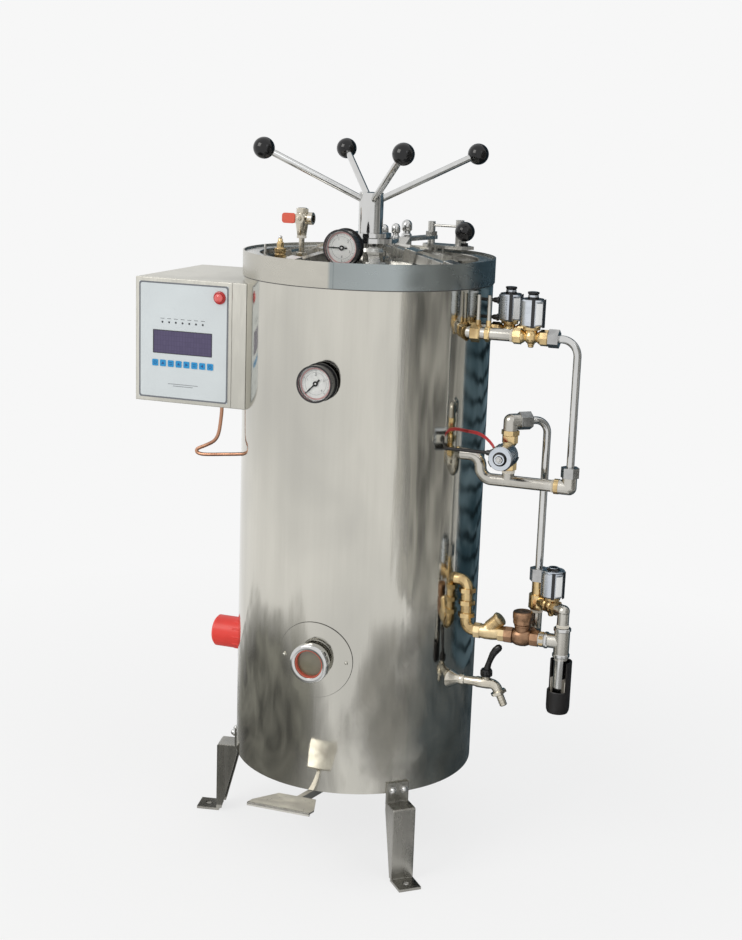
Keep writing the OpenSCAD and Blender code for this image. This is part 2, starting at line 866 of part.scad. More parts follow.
module lid_gauge_dial() {
    color("white") at_lid_gauge(gauge_depth - 3 * gauge_rim) gauge_dial();
}

module lid_gauge_glass() {
    color("white", 0.3) at_lid_gauge(lens_depth)
        cylinder(d = gauge_d - 2 * gauge_rim - 2 * run_gap, h = lens_t);
}

module lid_gauge_needle() {
    color("black") at_lid_gauge(needle_depth) rotate(90) gauge_needle();
}

// Places a child at the control box's lower front left corner
module at_box() {
    translate([-box_left, -box_front, leg_h + box_z]) children();
}

module box_shell() {
    strip_w = box_w - door_w;
    color("lightgray") difference() {
        at_box() union() {
            translate([0, door_t, 0]) cube([box_w, box_depth - door_t, box_h]);
            translate([door_w, 0, 0]) cube([strip_w, door_t + over, box_h]);
            // The fixed leaves of the hinge and their knuckles
            for (z = [1, 7] * box_h / 10) translate([-hinge_off, door_t, z]) {
                cylinder(d = hinge_d, h = box_h / 10);
                cube([hinge_off + box_wall / 2, hinge_d / 2, box_h / 10]);
                cylinder(d = hinge_d / 2, h = 2 * box_h / 10);
            }
        }
        at_box() translate([box_wall, door_t - over, box_wall])
            cube([door_w - 2 * box_wall, box_depth - door_t - box_wall + over, box_h - 2 * box_wall]);
        at_box() translate([door_w - 2 * box_wall, box_wall + door_t, box_wall])
            cube([strip_w + box_wall, box_depth - door_t - 2 * box_wall, box_h - 2 * box_wall]);
        translate([0, 0, leg_h]) cylinder(r = jacket_r + seat_gap, h = jacket_h, $fn = shell_fn);
        translate([copper_x, copper_y, leg_h + box_z - over])
            cylinder(d = copper_d + slide_gap, h = 4 * over);
    }
    // The saddle wall against the jacket
    color("lightgray") intersection() {
        at_box() translate([box_wall, door_t, 0]) cube([box_w - box_wall, box_depth - door_t, box_h]);
        translate([0, 0, leg_h + box_z]) ring(2 * (jacket_r + seat_gap + box_wall), 2 * (jacket_r + seat_gap),
            box_h, shell_fn);
    }
}

module control_board() {
    board_t = 2;
    stand_off = 8;
    color("darkgreen") at_box()
        translate([box_w / 8, box_depth - box_wall - stand_off - board_t, box_h / 8]) {
        cube([box_w * 3 / 8, board_t, box_h * 3 / 4]);
        translate([stand_off, -4 * stand_off, stand_off]) cube([5 * stand_off, 4 * stand_off, 6 * stand_off]);
        translate([stand_off, -3 * stand_off, 10 * stand_off])
            cube([6 * stand_off, 3 * stand_off, 5 * stand_off]);
        for (x = [1, 7] * box_w * 3 / 64, z = [1, 7] * box_h * 3 / 32) translate([x, board_t, z])
            rotate([-90, 0, 0])
            cylinder(d = stand_off / 2, h = stand_off);
    }
}

module box_door() {
    gap_w = door_w - door_gap;
    color("lightgray") at_box() difference() {
        union() {
            difference() {
                cube([gap_w, door_t - door_gap, box_h]);
                translate([box_wall, box_wall, box_wall])
                    cube([gap_w - 2 * box_wall, door_t, box_h - 2 * box_wall]);
            }
            // The door's knuckles turn on the fixed pins
            for (z = [2, 8] * box_h / 10) translate([-hinge_off, door_t, z + door_gap]) {
                difference() {
                    cylinder(d = hinge_d, h = box_h / 10 - door_gap);
                    translate([0, 0, -over]) cylinder(d = hinge_d / 2 + 2 * run_gap, h = box_h / 10 + over);
                }
                translate([hinge_d / 2 - door_gap, -hinge_d / 2 - edge_break, 0])
                    cube([hinge_off - hinge_d / 2 + box_wall, hinge_d / 2, box_h / 10 - door_gap]);
            }
        }
        translate([lamp_x, -over, box_h - lamp_drop]) rotate([-90, 0, 0])
            cylinder(d = lamp_d * 2 / 3, h = door_t);
        translate([display_x, -over, box_h - display_drop - display_h]) cube([display_w, door_t, display_h]);
    }
}

module panel_film() {
    color([0.8, 0.84, 0.87]) at_box() {
        difference() {
            translate([film_in, -film_t, film_in]) cube([film_w, film_t, film_h]);
            translate([display_x, -2 * film_t, box_h - display_drop - display_h])
                cube([display_w, 3 * film_t, display_h]);
            translate([lamp_x, -2 * film_t, box_h - lamp_drop]) rotate([-90, 0, 0])
                cylinder(d = lamp_d * 2 / 3 + seat_gap, h = 3 * film_t);
        }
        // The raised membrane keys and lamps
        for (i = [0:key_n - 1]) translate([key_x + i * key_pitch - key_w / 2, -film_t - key_t,
            box_h - key_drop - key_w / 2]) cube([key_w, key_t, key_w]);
        for (i = [0:led_n - 1]) translate([led_x + i * led_pitch, -film_t, box_h - led_drop])
            rotate([90, 0, 0]) cylinder(d = led_d, h = key_t / 2);
    }
}

module display() {
    color([0.3, 0.27, 0.42]) at_box() translate([display_x, 0, box_h - display_drop - display_h])
        translate([seat_gap, -film_t / 2, seat_gap])
            cube([display_w - 2 * seat_gap, door_t / 2, display_h - 2 * seat_gap]);
}

module alarm_lamp() {
    color("red") at_box() translate([lamp_x, -film_t, box_h - lamp_drop]) rotate([90, 0, 0]) {
        cylinder(d = lamp_d, h = film_t * 3);
        translate([0, 0, film_t * 3]) cylinder(d1 = lamp_d * 3 / 4, d2 = lamp_d * 5 / 8, h = film_t * 4);
        translate([0, 0, -door_t * 2 / 3]) cylinder(d = lamp_d * 2 / 3 - seat_gap, h = door_t * 2 / 3);
    }
}

module copper_tube() {
    inside = 3 * box_wall;
    first = (box_z - copper_z - 3 * copper_bend) / 2;
    end_x = copper_x - copper_side - copper_bend;
    color("peru") translate([copper_x, copper_y, leg_h + box_z + inside]) rotate([0, 90, 0])
        pipe_run(copper_d, [
        [first + inside, copper_bend, -90], [copper_side, copper_bend, 90], [first, copper_bend, 90],
        [-stub_in - end_x, 0, 0]]);
}

module pipework() {
    color("silver") {
        // Steam line and its rear twin, from the chamber to the first valves
        plumb(stub_in, steam_z) along_x(pipe_d, steam_valve_x - valve_len / 2 - stub_in);
        plumb(stub_in, steam_z, rear_line) along_x(pipe_d, rear_valve_x - valve_len / 2 - stub_in);
        // Two thin stems that stand on the steam line
        for (x = stem_x) plumb(x, steam_z + pipe_d / 2 + collar_h)
            cylinder(d = stem_od, h = stem_top_z - steam_z - pipe_d / 2 - collar_h);
        // Middle line: an offset bend, a straight pipe and the riser to its valve
        plumb(stub_in, middle_z + 2 * pipe_bend_r) pipe_run(pipe_d, [[jacket_r - stub_in, pipe_bend_r, -90],
            [0, pipe_bend_r, 90], [drop_x - elbow_d - jacket_r - 2 * pipe_bend_r, 0, 0]]);
        plumb(riser_x, middle_z) cylinder(d = pipe_d, h = riser_valve_z - valve_len / 2 - middle_z);
        // Elbow below the steam drop
        plumb(drop_x - elbow_d + ring_len, middle_z) along_x(elbow_d, elbow_d - ring_len);
        plumb(drop_x, middle_z) {
            sphere(d = elbow_d);
            cylinder(d = elbow_d, h = drop_nut_z - middle_z);
        }
        // Elbow above the riser valve
        plumb(riser_x, riser_valve_z + valve_len / 2 + ring_len)
            cylinder(d = elbow_d, h = union_z - riser_valve_z - valve_len / 2 - ring_len);
        plumb(riser_x, union_z) {
            sphere(d = elbow_d);
            rotate(return_turn) along_x(elbow_d, union_gap);
        }
        // Return pipe into the side of the water line
        plumb(return_x, water_z, return_back) {
            sphere(d = pipe_d);
            cylinder(d = pipe_d, h = low_valve_z - valve_body_d / 2 - water_z);
            outwards() cylinder(d = pipe_d, h = return_back - side_boss);
        }
        // Tee at the end of the water line, with the elbow on top and the nipple below
        plumb(check_x + check_len, water_z) along_x(elbow_d, tee_x - check_x - check_len);
        plumb(tee_x, water_z - tee_h / 2) cylinder(d = tee_d, h = tee_h);
        plumb(tee_x, water_z + tee_h / 2) cylinder(d = pipe_d, h = low_valve_z - water_z - tee_h / 2);
        plumb(tee_x, low_valve_z) {
            sphere(d = pipe_d + edge_break);
            rotate(link_turn) along_x(pipe_d, valve_place - valve_len / 4);
        }
        plumb(tee_x, boot_z + boot_wall * 3)
            cylinder(d = pipe_d, h = water_z - tee_h / 2 - boot_z - boot_wall * 3);
    }
}

// The body of a straight valve along Z, with its stem to the coil along -Y
module valve_body() {
    translate([0, 0, -valve_len / 2]) {
        hex(valve_body_d, valve_len / 4);
        cylinder(d = valve_af, h = valve_len);
        translate([0, 0, valve_len * 3 / 4]) hex(valve_body_d, valve_len / 4);
    }
    outwards() cylinder(d = valve_body_d, h = coil_gap);
    outwards() cylinder(d = coil_bore, h = coil_gap + coil_h);
}

module solenoid_bodies() {
    color("goldenrod") {
        plumb(steam_valve_x, steam_z) rotate([-90, 0, 90]) valve_body();
        plumb(rear_valve_x, steam_z, rear_line) rotate([-90, 0, 90]) valve_body();
        plumb(riser_x, riser_valve_z) valve_body();
        plumb(tee_x, low_valve_z) rotate(link_turn) translate([valve_place, 0, 0]) rotate([-90, 0, 90]) {
            translate([0, 0, -valve_len / 4]) hex(valve_body_d, valve_len / 2);
            outwards() cylinder(d = valve_body_d, h = coil_gap);
            outwards() cylinder(d = coil_bore, h = coil_gap + coil_h);
        }
    }
}

// A coil round its valve stem, seen along Z
module coil() {
    difference() {
        union() {
            cylinder(d1 = coil_w - 2 * coil_edge, d2 = coil_w, h = coil_edge);
            translate([0, 0, coil_edge]) cylinder(d = coil_w, h = coil_h - 2 * coil_edge);
            translate([0, 0, coil_h - coil_edge])
                cylinder(d1 = coil_w, d2 = coil_w - 2 * coil_edge, h = coil_edge);
            translate([0, 0, coil_h]) cylinder(d = cap_nut_d, h = cap_nut_h);
        }
        translate([0, 0, -over]) cylinder(d = coil_bore + 2 * run_gap, h = coil_h + over + run_gap);
    }
}

module solenoid_coils() {
    color("lightsteelblue") {
        plumb(steam_valve_x, steam_z + coil_gap) coil();
        plumb(rear_valve_x, steam_z + coil_gap, rear_line) coil();
        plumb(riser_x, riser_valve_z, -coil_gap) outwards() coil();
        plumb(tee_x, low_valve_z + coil_gap) rotate(link_turn) translate([valve_place, 0, 0]) coil();
    }
}

module brass_fittings() {
    color("goldenrod") {
        // Collars on the steam line, one under each stem
        for (x = stem_x) plumb(x, steam_z) {
            translate([-ring_len / 2, 0, 0]) rotate([0, 90, 0]) ring(ring_d, pipe_d + 2 * seat_gap, ring_len);
            translate([0, 0, pipe_d / 2 + seat_gap])
                cylinder(d = ring_len + edge_break, h = collar_h - seat_gap);
        }
        plumb(drop_x - elbow_d, middle_z) along_x(ring_d, ring_len);
        plumb(riser_x, riser_valve_z + valve_len / 2) hex(nut_af, ring_len);
        // Vent plug behind the rear valve
        plumb(rear_valve_x + valve_len / 2, steam_z, rear_line) rotate([0, 90, 0]) hex(ring_d, ring_len);
        // The water port: from the chamber down to the water line
        plumb(stub_in, water_port_z) pipe_run(pipe_d, [[port_x - port_bend - stub_in, port_bend, -90],
            [water_port_z - water_z - 2 * port_bend, port_bend, 90], [strainer_x - port_x - port_bend, 0, 0]]);
        for (z = [1, 2, 3]) plumb(port_x, water_z + z * (water_port_z - water_z) / 4) hex(ring_d, ring_len);
        // The tee where the return tube comes down
        plumb(return_x, low_valve_z - valve_body_d / 2, return_back) {
            cylinder(d = pipe_d, h = return_nut_z - low_valve_z + valve_body_d / 2);
            hex(ring_d, ring_len);
        }
        plumb(tee_x, low_valve_z) rotate(link_turn) translate([valve_place + valve_len / 4, 0, 0])
            along_x(pipe_d, link_reach - valve_place - valve_len / 4);
        plumb(return_x, low_valve_z, return_back)
            cylinder(d = valve_body_d, h = valve_body_d * 3 / 4, center = true);
    }
}

module union_nuts() {
    color("lightgray") {
        plumb(steam_nut_x - ring_len / 4, steam_z) rotate([0, 90, 0]) hex(nut_af, nut_len);
        plumb(drop_x, drop_nut_z) hex(nut_af, nut_len);
        plumb(riser_x, union_z) rotate(return_turn) translate([union_gap, 0, 0]) rotate([0, 90, 0])
            hex(nut_af, union_len);
        plumb(return_x, return_nut_z, return_back) hex(nut_af, return_nut_len);
    }
}

module steam_tube() {
    nut_end = steam_nut_x - ring_len / 4 + nut_len;
    color("silver") plumb(nut_end, steam_z) pipe_run(tube_d, [[drop_x - tube_bend - nut_end, tube_bend, -90],
        [steam_z - tube_bend - drop_nut_z - nut_len, 0, 0]]);
}

module drain_tube() {
    nut_end = union_gap + union_len;
    color("silver") plumb(riser_x, union_z) rotate(return_turn) translate([nut_end, 0, 0]) pipe_run(tube_d, [
        [return_reach - return_bend - nut_end, return_bend, -90],
        [union_z - return_bend - return_nut_z - return_nut_len, 0, 0]]);
}

module strainer() {
    color("goldenrod") plumb(strainer_x, water_z) {
        rotate([0, 90, 0]) {
            hex(strainer_af, strainer_len / 5);
            cylinder(d = strainer_af * 9 / 10, h = strainer_len);
            translate([0, 0, strainer_len * 4 / 5]) hex(strainer_af, strainer_len / 5);
        }
        translate([strainer_len / 3, 0, 0]) rotate([0, basket_tilt, 0]) {
            cylinder(d = basket_d, h = basket_len * 4 / 5);
            translate([0, 0, basket_len / 2]) hex(strainer_af, basket_len / 5);
            translate([0, 0, basket_len * 4 / 5])
                cylinder(d1 = basket_d, d2 = basket_d * 2 / 3, h = basket_len / 5);
        }
    }
}

module check_valve() {
    color("peru") plumb(check_x, water_z) {
        rotate([0, 90, 0]) {
            hex(check_af, check_len / 4);
            cylinder(d = check_af * 9 / 10, h = check_len);
            translate([0, 0, check_len * 3 / 4]) hex(check_af, check_len / 4);
        }
        // Side boss for the return pipe
        translate([return_x - check_x, 0, 0]) rotate([-90, 0, 0]) cylinder(d = ring_d, h = side_boss);
        translate([check_len / 2, 0, 0]) {
            sphere(d = check_d);
            cylinder(d = check_d - 2 * edge_break, h = check_d * 3 / 4);
            translate([0, 0, check_d * 3 / 4]) hex(check_cap_d - ring_len / 2, check_cap_h);
        }
    }
}

module outlet_boot() {
    window_w = boot_d / 2;
    color([0.09, 0.09, 0.1]) plumb(tee_x, boot_z) difference() {
        union() {
            cylinder(d1 = boot_d * 7 / 8, d2 = boot_d, h = boot_h / 10);
            translate([0, 0, boot_h / 10]) cylinder(d = boot_d, h = boot_h * 9 / 10);
        }
        translate([0, 0, boot_wall * 3]) cylinder(d = pipe_d + 2 * seat_gap, h = boot_h);
        // The window in front shows the nipple inside
        translate([-window_w / 2, -boot_d, boot_h * 3 / 8]) cube([window_w, boot_d, boot_h]);
        translate([0, -boot_d, boot_h * 3 / 8]) rotate([-90, 0, 0]) cylinder(d = window_w, h = boot_d);
    }
}

module drain_tap() {
    barb_step = tap_barb_h / 4;
    color("lightgray") {
        difference() {
            plumb(stub_in, tap_z) rotate([0, 90, 0])
                cylinder(d1 = tap_flange_d, d2 = tap_d, h = jacket_r - stub_in);
            at(0, 0, 0) cylinder(r = jacket_r + seat_gap, h = jacket_h, $fn = shell_fn);
        }
        plumb(stub_in, tap_z) along_x(tap_d * 3 / 4, jacket_r - stub_in);
        plumb(jacket_r, tap_z) along_x(tap_d + 2 * edge_break, tap_len / 4);
        plumb(jacket_r, tap_z) pipe_run(tap_d, [[tap_len, tap_bend, -90], [tap_drop, 0, 0]]);
        plumb(tap_stem_x, tap_z) cylinder(d = tap_stem_d, h = tap_d / 2 + tap_stem_h);
        plumb(tap_stem_x, tap_z) cylinder(d = tap_stem_d * 3 / 2, h = tap_d / 2 + tap_stem_h / 2);
        // Stepped hose barb
        plumb(jacket_r + tap_len + tap_bend, tap_z - tap_bend - tap_drop - tap_barb_h) {
            cylinder(d = tap_barb_d, h = tap_barb_h + tap_drop / 2);
            for (i = [0:3]) translate([0, 0, i * barb_step])
                cylinder(d1 = tap_barb_d, d2 = tap_barb_d * 5 / 4, h = barb_step);
        }
    }
}

module tap_lever() {
    base_z0 = tap_z + tap_d / 2 + tap_stem_h / 2;
    color([0.09, 0.09, 0.1]) plumb(tap_stem_x, base_z0) {
        difference() {
            cylinder(d = tap_stem_d * 2, h = 2 * tap_stem_h);
            translate([0, 0, -over])
                cylinder(d = tap_stem_d + 2 * run_gap, h = tap_stem_h / 2 + over + run_gap);
        }
        translate([0, 0, tap_stem_h]) rotate([0, tap_lever_tilt, 0]) {
            cylinder(d1 = tap_lever_d, d2 = tap_lever_d * 4 / 3, h = tap_lever_l);
            translate([0, 0, tap_lever_l]) sphere(d = tap_lever_d * 4 / 3);
        }
    }
}

module coil_leads() {
    color([0.08, 0.08, 0.09]) {
        // The two rear leads end in the jacket's wall, outside the locking ring
        for (z = lead_z) plumb(jacket_in + seat_gap, z, rear_line)
            along_x(lead_d, rear_valve_x - coil_w / 2 - 2 * seat_gap - jacket_in);
        plumb(stub_in - nut_af, low_lead_z, low_lead_back)
            along_x(lead_d, riser_x - coil_w / 2 - seat_gap - stub_in + nut_af);
    }
}

module pedal() {
    reach = (pedal_near + pivot_y) / cos(pedal_half);
    color("silver") translate([0, pivot_y, leg_h + pivot_z]) {
        translate([pivot_from, 0, 0]) along_x(pivot_d, pivot_to - pivot_from);
        rotate([-pedal_half, 0, 0]) {
            translate([-arm_bar / 2, -reach - pedal_len / 2, -arm_h / 2])
                cube([arm_bar, reach + pedal_len / 2, arm_h]);
            translate([column_x - arm_bar / 2, 0, -lift_bar_h / 2])
                cube([arm_bar, (nose_y - pivot_y) / cos(pedal_half), lift_bar_h]);
            // The tread and its folded edge
            translate([0, -reach, arm_h / 2]) linear_extrude(pedal_t) polygon([[-pedal_neck / 2, 0],
                [pedal_neck / 2, 0], [pedal_w / 2, -pedal_len * 3 / 4], [pedal_w / 2, -pedal_len],
                [-pedal_w / 2, -pedal_len], [-pedal_w / 2, -pedal_len * 3 / 4]]);
            translate([-pedal_w / 2, -reach - pedal_len, arm_h / 2 + pedal_t - pedal_lip])
                cube([pedal_w, pedal_t, pedal_lip]);
        }
        for (x = [0, column_x]) translate([x - arm_bar, 0, 0]) along_x(pivot_d * 3 / 2, 2 * arm_bar);
        translate([column_x - nose_w / 2, nose_y - pivot_y, nose_z - pivot_z]) along_x(nose_d, nose_w);
    }
}

module lid_gasket() {
    color([0.75, 0.35, 0.25]) at(0, 0, seat_z)
        ring(2 * (lid_r - edge_break - seat_gap), 2 * (lid_r - edge_break - seat_gap - gasket_w), gasket_h,
            shell_fn);
}

module lid() {
    dome_c = lid_top - lid_crown_r;
    hollow_r = lid_r - edge_break - seat_gap - gasket_w - lid_t;
    color("gainsboro") difference() {
        union() {
            intersection() {
                at(0, 0, dome_c) sphere(r = lid_crown_r, $fn = shell_fn);
                at(0, 0, rim_z) cylinder(r = lid_r, h = lid_top, $fn = shell_fn);
            }
            at(0, 0, rim_z) cylinder(r = lid_r, h = rim_t, $fn = shell_fn);
            // Hub for the handle
            at(0, 0, rim_z) cylinder(r = boss_r, h = boss_top - rim_z);
            at(0, 0, rim_z) cylinder(r = shoulder_r, h = scroll_z - rim_z);
            at(0, 0, rim_z) cylinder(r = shaft_r, h = shaft_top - rim_z);
            // Seats of the valves and of the gauge
            for (p = lid_ports) at(p[0], p[1], rim_z) cylinder(d = boss_d, h = dome_z(p[1]) + boss_h - rim_z);
            // Pad under the lift arm
            at(column_az, 0, rim_z) translate([-arm_w / 2, -arm_rise_r, 0])
                cube([arm_w, arm_rise_r - arm_foot_r, pad_z - rim_z]);
            // Guides of the locking bars
            for (i = [0:bar_n - 1], r = [guide_inner_r, guide_outer_r]) bar_frame(i)
                translate([-guide_w / 2, (bar_ref_r - r) / cos(bar_slope) - guide_len / 2, -guide_deep])
                    cube([guide_w, guide_len, guide_deep + bar_h / 2 + slide_gap + guide_wall]);
        }
        for (i = [0:bar_n - 1], r = [guide_inner_r, guide_outer_r]) bar_frame(i)
            translate([-bar_w / 2 - slide_gap, (bar_ref_r - r) / cos(bar_slope) - guide_len,
                -bar_h / 2 - slide_gap]) cube([bar_w + 2 * slide_gap, 2 * guide_len, bar_h + 2 * slide_gap]);
        intersection() {
            at(0, 0, dome_c) sphere(r = lid_crown_r - lid_t, $fn = shell_fn);
            at(0, 0, rim_z - over) cylinder(r = hollow_r, h = lid_top, $fn = shell_fn);
        }
    }
}

module lift_arm() {
    chord_az = (column_az + post_az) / 2;
    half_turn = (column_az - post_az) / 2;
    rod_step = (post_r - column_r) * cos(half_turn);
    chord = (column_r + post_r) * sin(half_turn);
    foot_z = nose_z + nose_d / 2 + slide_gap;
    color("silver") {
        // Lift column with its foot and its nut
        at(column_az, column_r, foot_z) {
            cylinder(d = foot_d, h = foot_t);
            cylinder(d = column_d, h = column_top - foot_z);
        }
        at(column_az, column_r, arm_z + arm_t) hex(column_d * 3 / 2, column_d / 2);
        at(column_az, column_r, arm_z) cylinder(d = arm_w + 2 * edge_break, h = arm_t);
        // Cranked arm from the lid to the column
        at(column_az) translate([-arm_w / 2, 0, 0]) rotate([90, 0, 90]) linear_extrude(arm_w) polygon([
            [-arm_foot_r, pad_z], [-arm_rise_r, pad_z], [-arm_level_r, arm_z], [-column_r, arm_z],
            [-column_r, arm_z + arm_t], [-arm_level_r + arm_t / 2, arm_z + arm_t],
            [-arm_rise_r + arm_t / 2, pad_z + arm_t], [-arm_foot_r, pad_z + arm_t]]);
        for (r = [arm_foot_r + arm_t, arm_rise_r - arm_t * 3 / 2]) at(column_az, r, pad_z + arm_t)
            hex(column_d * 2 / 3, arm_t * 2 / 3);
        // Side plate with the post, its tie rod and the stud of the knob
        at(0, 0, plate_z) linear_extrude(plate_h)
            polygon([for (p = [[column_az + plate_turn, column_r - column_d],
            [column_az + plate_turn, column_r + column_d], [post_az, post_r + column_d],
            [knob_az - plate_turn, knob_r + column_d], [knob_az - plate_turn, knob_r - column_d],
            [grip_az, column_r - 2 * column_d], [column_az - plate_turn, column_r - 2 * column_d]])
            [p[1] * sin(p[0]), -p[1] * cos(p[0])]]);
        at(chord_az, post_r * cos(half_turn), column_top - column_d / 2)
            translate([-post_r * sin(half_turn), 0, 0])
            rotate(atan2(rod_step, chord)) along_x(brace_d, norm([chord, rod_step]));
        at(post_az, post_r, plate_z) cylinder(d = grip_d, h = plate_h + grip_h);
        at(knob_az, knob_r, plate_z) cylinder(d = column_d / 2, h = knob_z - plate_z - knob_d / 4);
    }
}

module arm_knob() {
    bore_d = column_d / 2 + 2 * run_gap;
    color([0.08, 0.08, 0.09]) at(knob_az, knob_r, plate_z + plate_h) difference() {
        union() {
            cylinder(d = column_d, h = plate_h);
            translate([0, 0, knob_z - plate_z - plate_h]) sphere(d = knob_d);
        }
        translate([0, 0, -over])
            cylinder(d = bore_d, h = knob_z - plate_z - plate_h - knob_d / 4 + over + run_gap);
    }
}

module ball_valve() {
    base = dome_z(ball_valve_r) + boss_h;
    color("lightgray") at(ball_valve_az, ball_valve_r, base) rotate(-ball_valve_az) {
        hex(cock_d * 4 / 5, cock_d / 2);
        cylinder(d = cock_d / 2, h = cock_z - base);
        translate([0, 0, cock_z - base - cock_d]) hex(cock_d * 3 / 4, cock_d / 2);
        translate([0, 0, cock_z - base]) {
            sphere(d = cock_d);
            cylinder(d = cock_d * 2 / 3, h = cock_top);
            along_x(cock_d / 2, cock_side);
            translate([cock_side / 2, 0, 0]) rotate([0, 90, 0]) hex(cock_d * 4 / 5, cock_side / 2);
            outwards() cylinder(d = cock_d / 2, h = cock_d * 3 / 5);
            outwards() cylinder(d = cock_stem_d, h = cock_stem_l);
            outwards() translate([0, 0, cock_d * 3 / 5 + seat_gap + cock_lever_t])
                cylinder(d = 2 * cock_stem_d,
                h = cock_stem_l - cock_d * 3 / 5 - seat_gap - cock_lever_t);
        }
    }
}

module valve_lever() {
    color("red") at(ball_valve_az, ball_valve_r, cock_z) rotate(-ball_valve_az) outwards()
        translate([0, 0, cock_d * 3 / 5 + seat_gap / 2]) difference() {
            union() {
                cylinder(d = 3 * cock_stem_d, h = cock_lever_t);
                translate([-cock_lever_l, -cock_lever_w / 2, 0])
                    cube([cock_lever_l, cock_lever_w, cock_lever_t]);
            }
            translate([0, 0, -over]) cylinder(d = cock_stem_d + 2 * run_gap, h = cock_lever_t + 2 * over);
        }
}

module safety_valve() {
    base = dome_z(safety_r) + boss_h;
    tall = safety_z - base;
    color("goldenrod") at(safety_az, safety_r, base) {
        hex(safety_d, tall / 5);
        cylinder(d = safety_d * 4 / 5, h = tall * 9 / 10);
        translate([0, 0, tall * 2 / 5]) cylinder(d = safety_d, h = tall / 2);
        translate([0, 0, tall * 9 / 10]) cylinder(d = safety_d / 2, h = tall / 10);
    }
}

module relief_valves() {
    color("silver") {
        for (p = relief_places) at(p[0], p[1], dome_z(p[1]) + boss_h) {
            tall = jacket_h + p[2] - dome_z(p[1]) - boss_h;
            hex(p[3], tall / 5);
            cylinder(d = p[3] * 4 / 5, h = tall * 3 / 5);
            translate([0, 0, tall / 3]) cylinder(d = p[3], h = tall * 2 / 3 - p[3] / 2);
            translate([0, 0, tall - p[3] / 2]) sphere(d = p[3]);
        }
        for (p = stud_places) at(p[0], p[1], rim_z + rim_t) {
            cylinder(d = p[3], h = jacket_h + p[2] - rim_z - rim_t);
            hex(p[3] * 2, p[3]);
        }
    }
}

// One slot of the scroll plate: the pin's spiral path, widened to both sides
module scroll_slot(i) {
    half = pin_d / 2 + slot_gap;
    path = [for (k = [0:scroll_steps]) let (t = k / scroll_steps, a = bar_az + i * 360 / bar_n + t * lock_turn,
        r = pin_r + throw * t) [a, r]];
    lead = atan(throw / (lock_turn * PI / 180) / (pin_r + throw / 2));
    function side(p, s) = [(p[1] * sin(p[0]) + s * half * sin(p[0] - lead)),
        -(p[1] * cos(p[0]) + s * half * cos(p[0] - lead))];
    polygon(concat([for (p = path) side(p, 1)], [for (k = [scroll_steps:-1:0]) side(path[k], -1)]));
    for (p = [path[0], path[scroll_steps]]) rotate(p[0]) translate([0, -p[1]]) circle(r = half);
}

module handle() {
    spoke_z = ball_z - spoke_reach * tan(spoke_rise);
    spoke_start = (sleeve_d / 2 - sleeve_wall / 2) / cos(spoke_rise);
    spoke_end = spoke_reach / cos(spoke_rise);
    color("gainsboro") difference() {
        union() {
            at(0, 0, scroll_z) linear_extrude(scroll_t) difference() {
                circle(r = scroll_r);
                for (i = [0:bar_n - 1]) scroll_slot(i);
            }
            at(0, 0, scroll_z + scroll_t) cylinder(r = flange_r, h = flange_t);
            at(0, 0, sleeve_z) cylinder(d = sleeve_d, h = sleeve_h - edge_break);
            at(0, 0, sleeve_top - edge_break)
                cylinder(d1 = sleeve_d, d2 = sleeve_d - 2 * edge_break, h = edge_break);
            for (i = [0:spoke_n - 1]) at(handle_az + i * 360 / spoke_n, 0, spoke_z)
                rotate([90 - spoke_rise, 0, 0])
                translate([0, 0, spoke_start]) cylinder(d = spoke_d, h = spoke_end - spoke_start);
        }
        at(0, 0, scroll_z - over)
            cylinder(r = shaft_r + run_gap, h = shaft_top - scroll_z + over + slide_gap);
    }
}

module handle_knobs() {
    spoke_z = ball_z - spoke_reach * tan(spoke_rise);
    spoke_end = spoke_reach / cos(spoke_rise);
    color([0.08, 0.08, 0.09]) for (i = [0:spoke_n - 1]) at(handle_az + i * 360 / spoke_n, 0, spoke_z)
        rotate([90 - spoke_rise, 0, 0]) difference() {
            translate([0, 0, spoke_end]) sphere(d = ball_d);
            translate([0, 0, spoke_end - ball_d]) cylinder(d = spoke_d + 2 * run_gap, h = ball_d + run_gap);
        }
}

module lock_bar(i) {
    outer = (bar_ref_r - bar_end_r) / cos(bar_slope);
    inner = (bar_ref_r - bar_start_r) / cos(bar_slope);
    tip = (bar_ref_r - tongue_r) / cos(bar_slope);
    color("silver") {
        bar_frame(i) {
            translate([-bar_w / 2, outer + edge_break, -bar_h / 2])
                cube([bar_w, inner - outer - edge_break, bar_h]);
            translate([-bar_w / 2 + edge_break, outer, -bar_h / 2 + edge_break])
                cube([bar_w - 2 * edge_break, 2 * edge_break, bar_h - 2 * edge_break]);
            translate([-tongue_w / 2, inner - edge_break, -tongue_h / 2])
                cube([tongue_w, tip - inner + edge_break, tongue_h]);
        }
        at(bar_az + i * 360 / bar_n, pin_r, bar_z(pin_r))
            cylinder(d = pin_d, h = scroll_z + scroll_t - seat_gap - bar_z(pin_r));
    }
}

jacket();
top_band();
vessel();
vessel_ring();
insulation();
base_plate();
legs();
leg_bolts();
heaters();
heater_cap();
basket_stand();
sight_plate();
sight_ring();
sight_glass();
sight_gasket();
jacket_gauge();
jacket_gauge_dial();
jacket_gauge_glass();
jacket_gauge_needle();
box_shell();
control_board();
box_door();
panel_film();
display();
alarm_lamp();
copper_tube();
pipework();
brass_fittings();
solenoid_bodies();
solenoid_coils();
coil_leads();
union_nuts();
steam_tube();
drain_tube();
strainer();
check_valve();
outlet_boot();
drain_tap();
tap_lever();
pedal();
lid_gasket();
lid();
lift_arm();
arm_knob();
ball_valve();
valve_lever();
safety_valve();
relief_valves();
lid_gauge();
lid_gauge_dial();
lid_gauge_glass();
lid_gauge_needle();
handle();
handle_knobs();
lock_bar(0);  // lock_bar_1
lock_bar(1);  // lock_bar_2
lock_bar(2);  // lock_bar_3
lock_bar(3);  // lock_bar_4
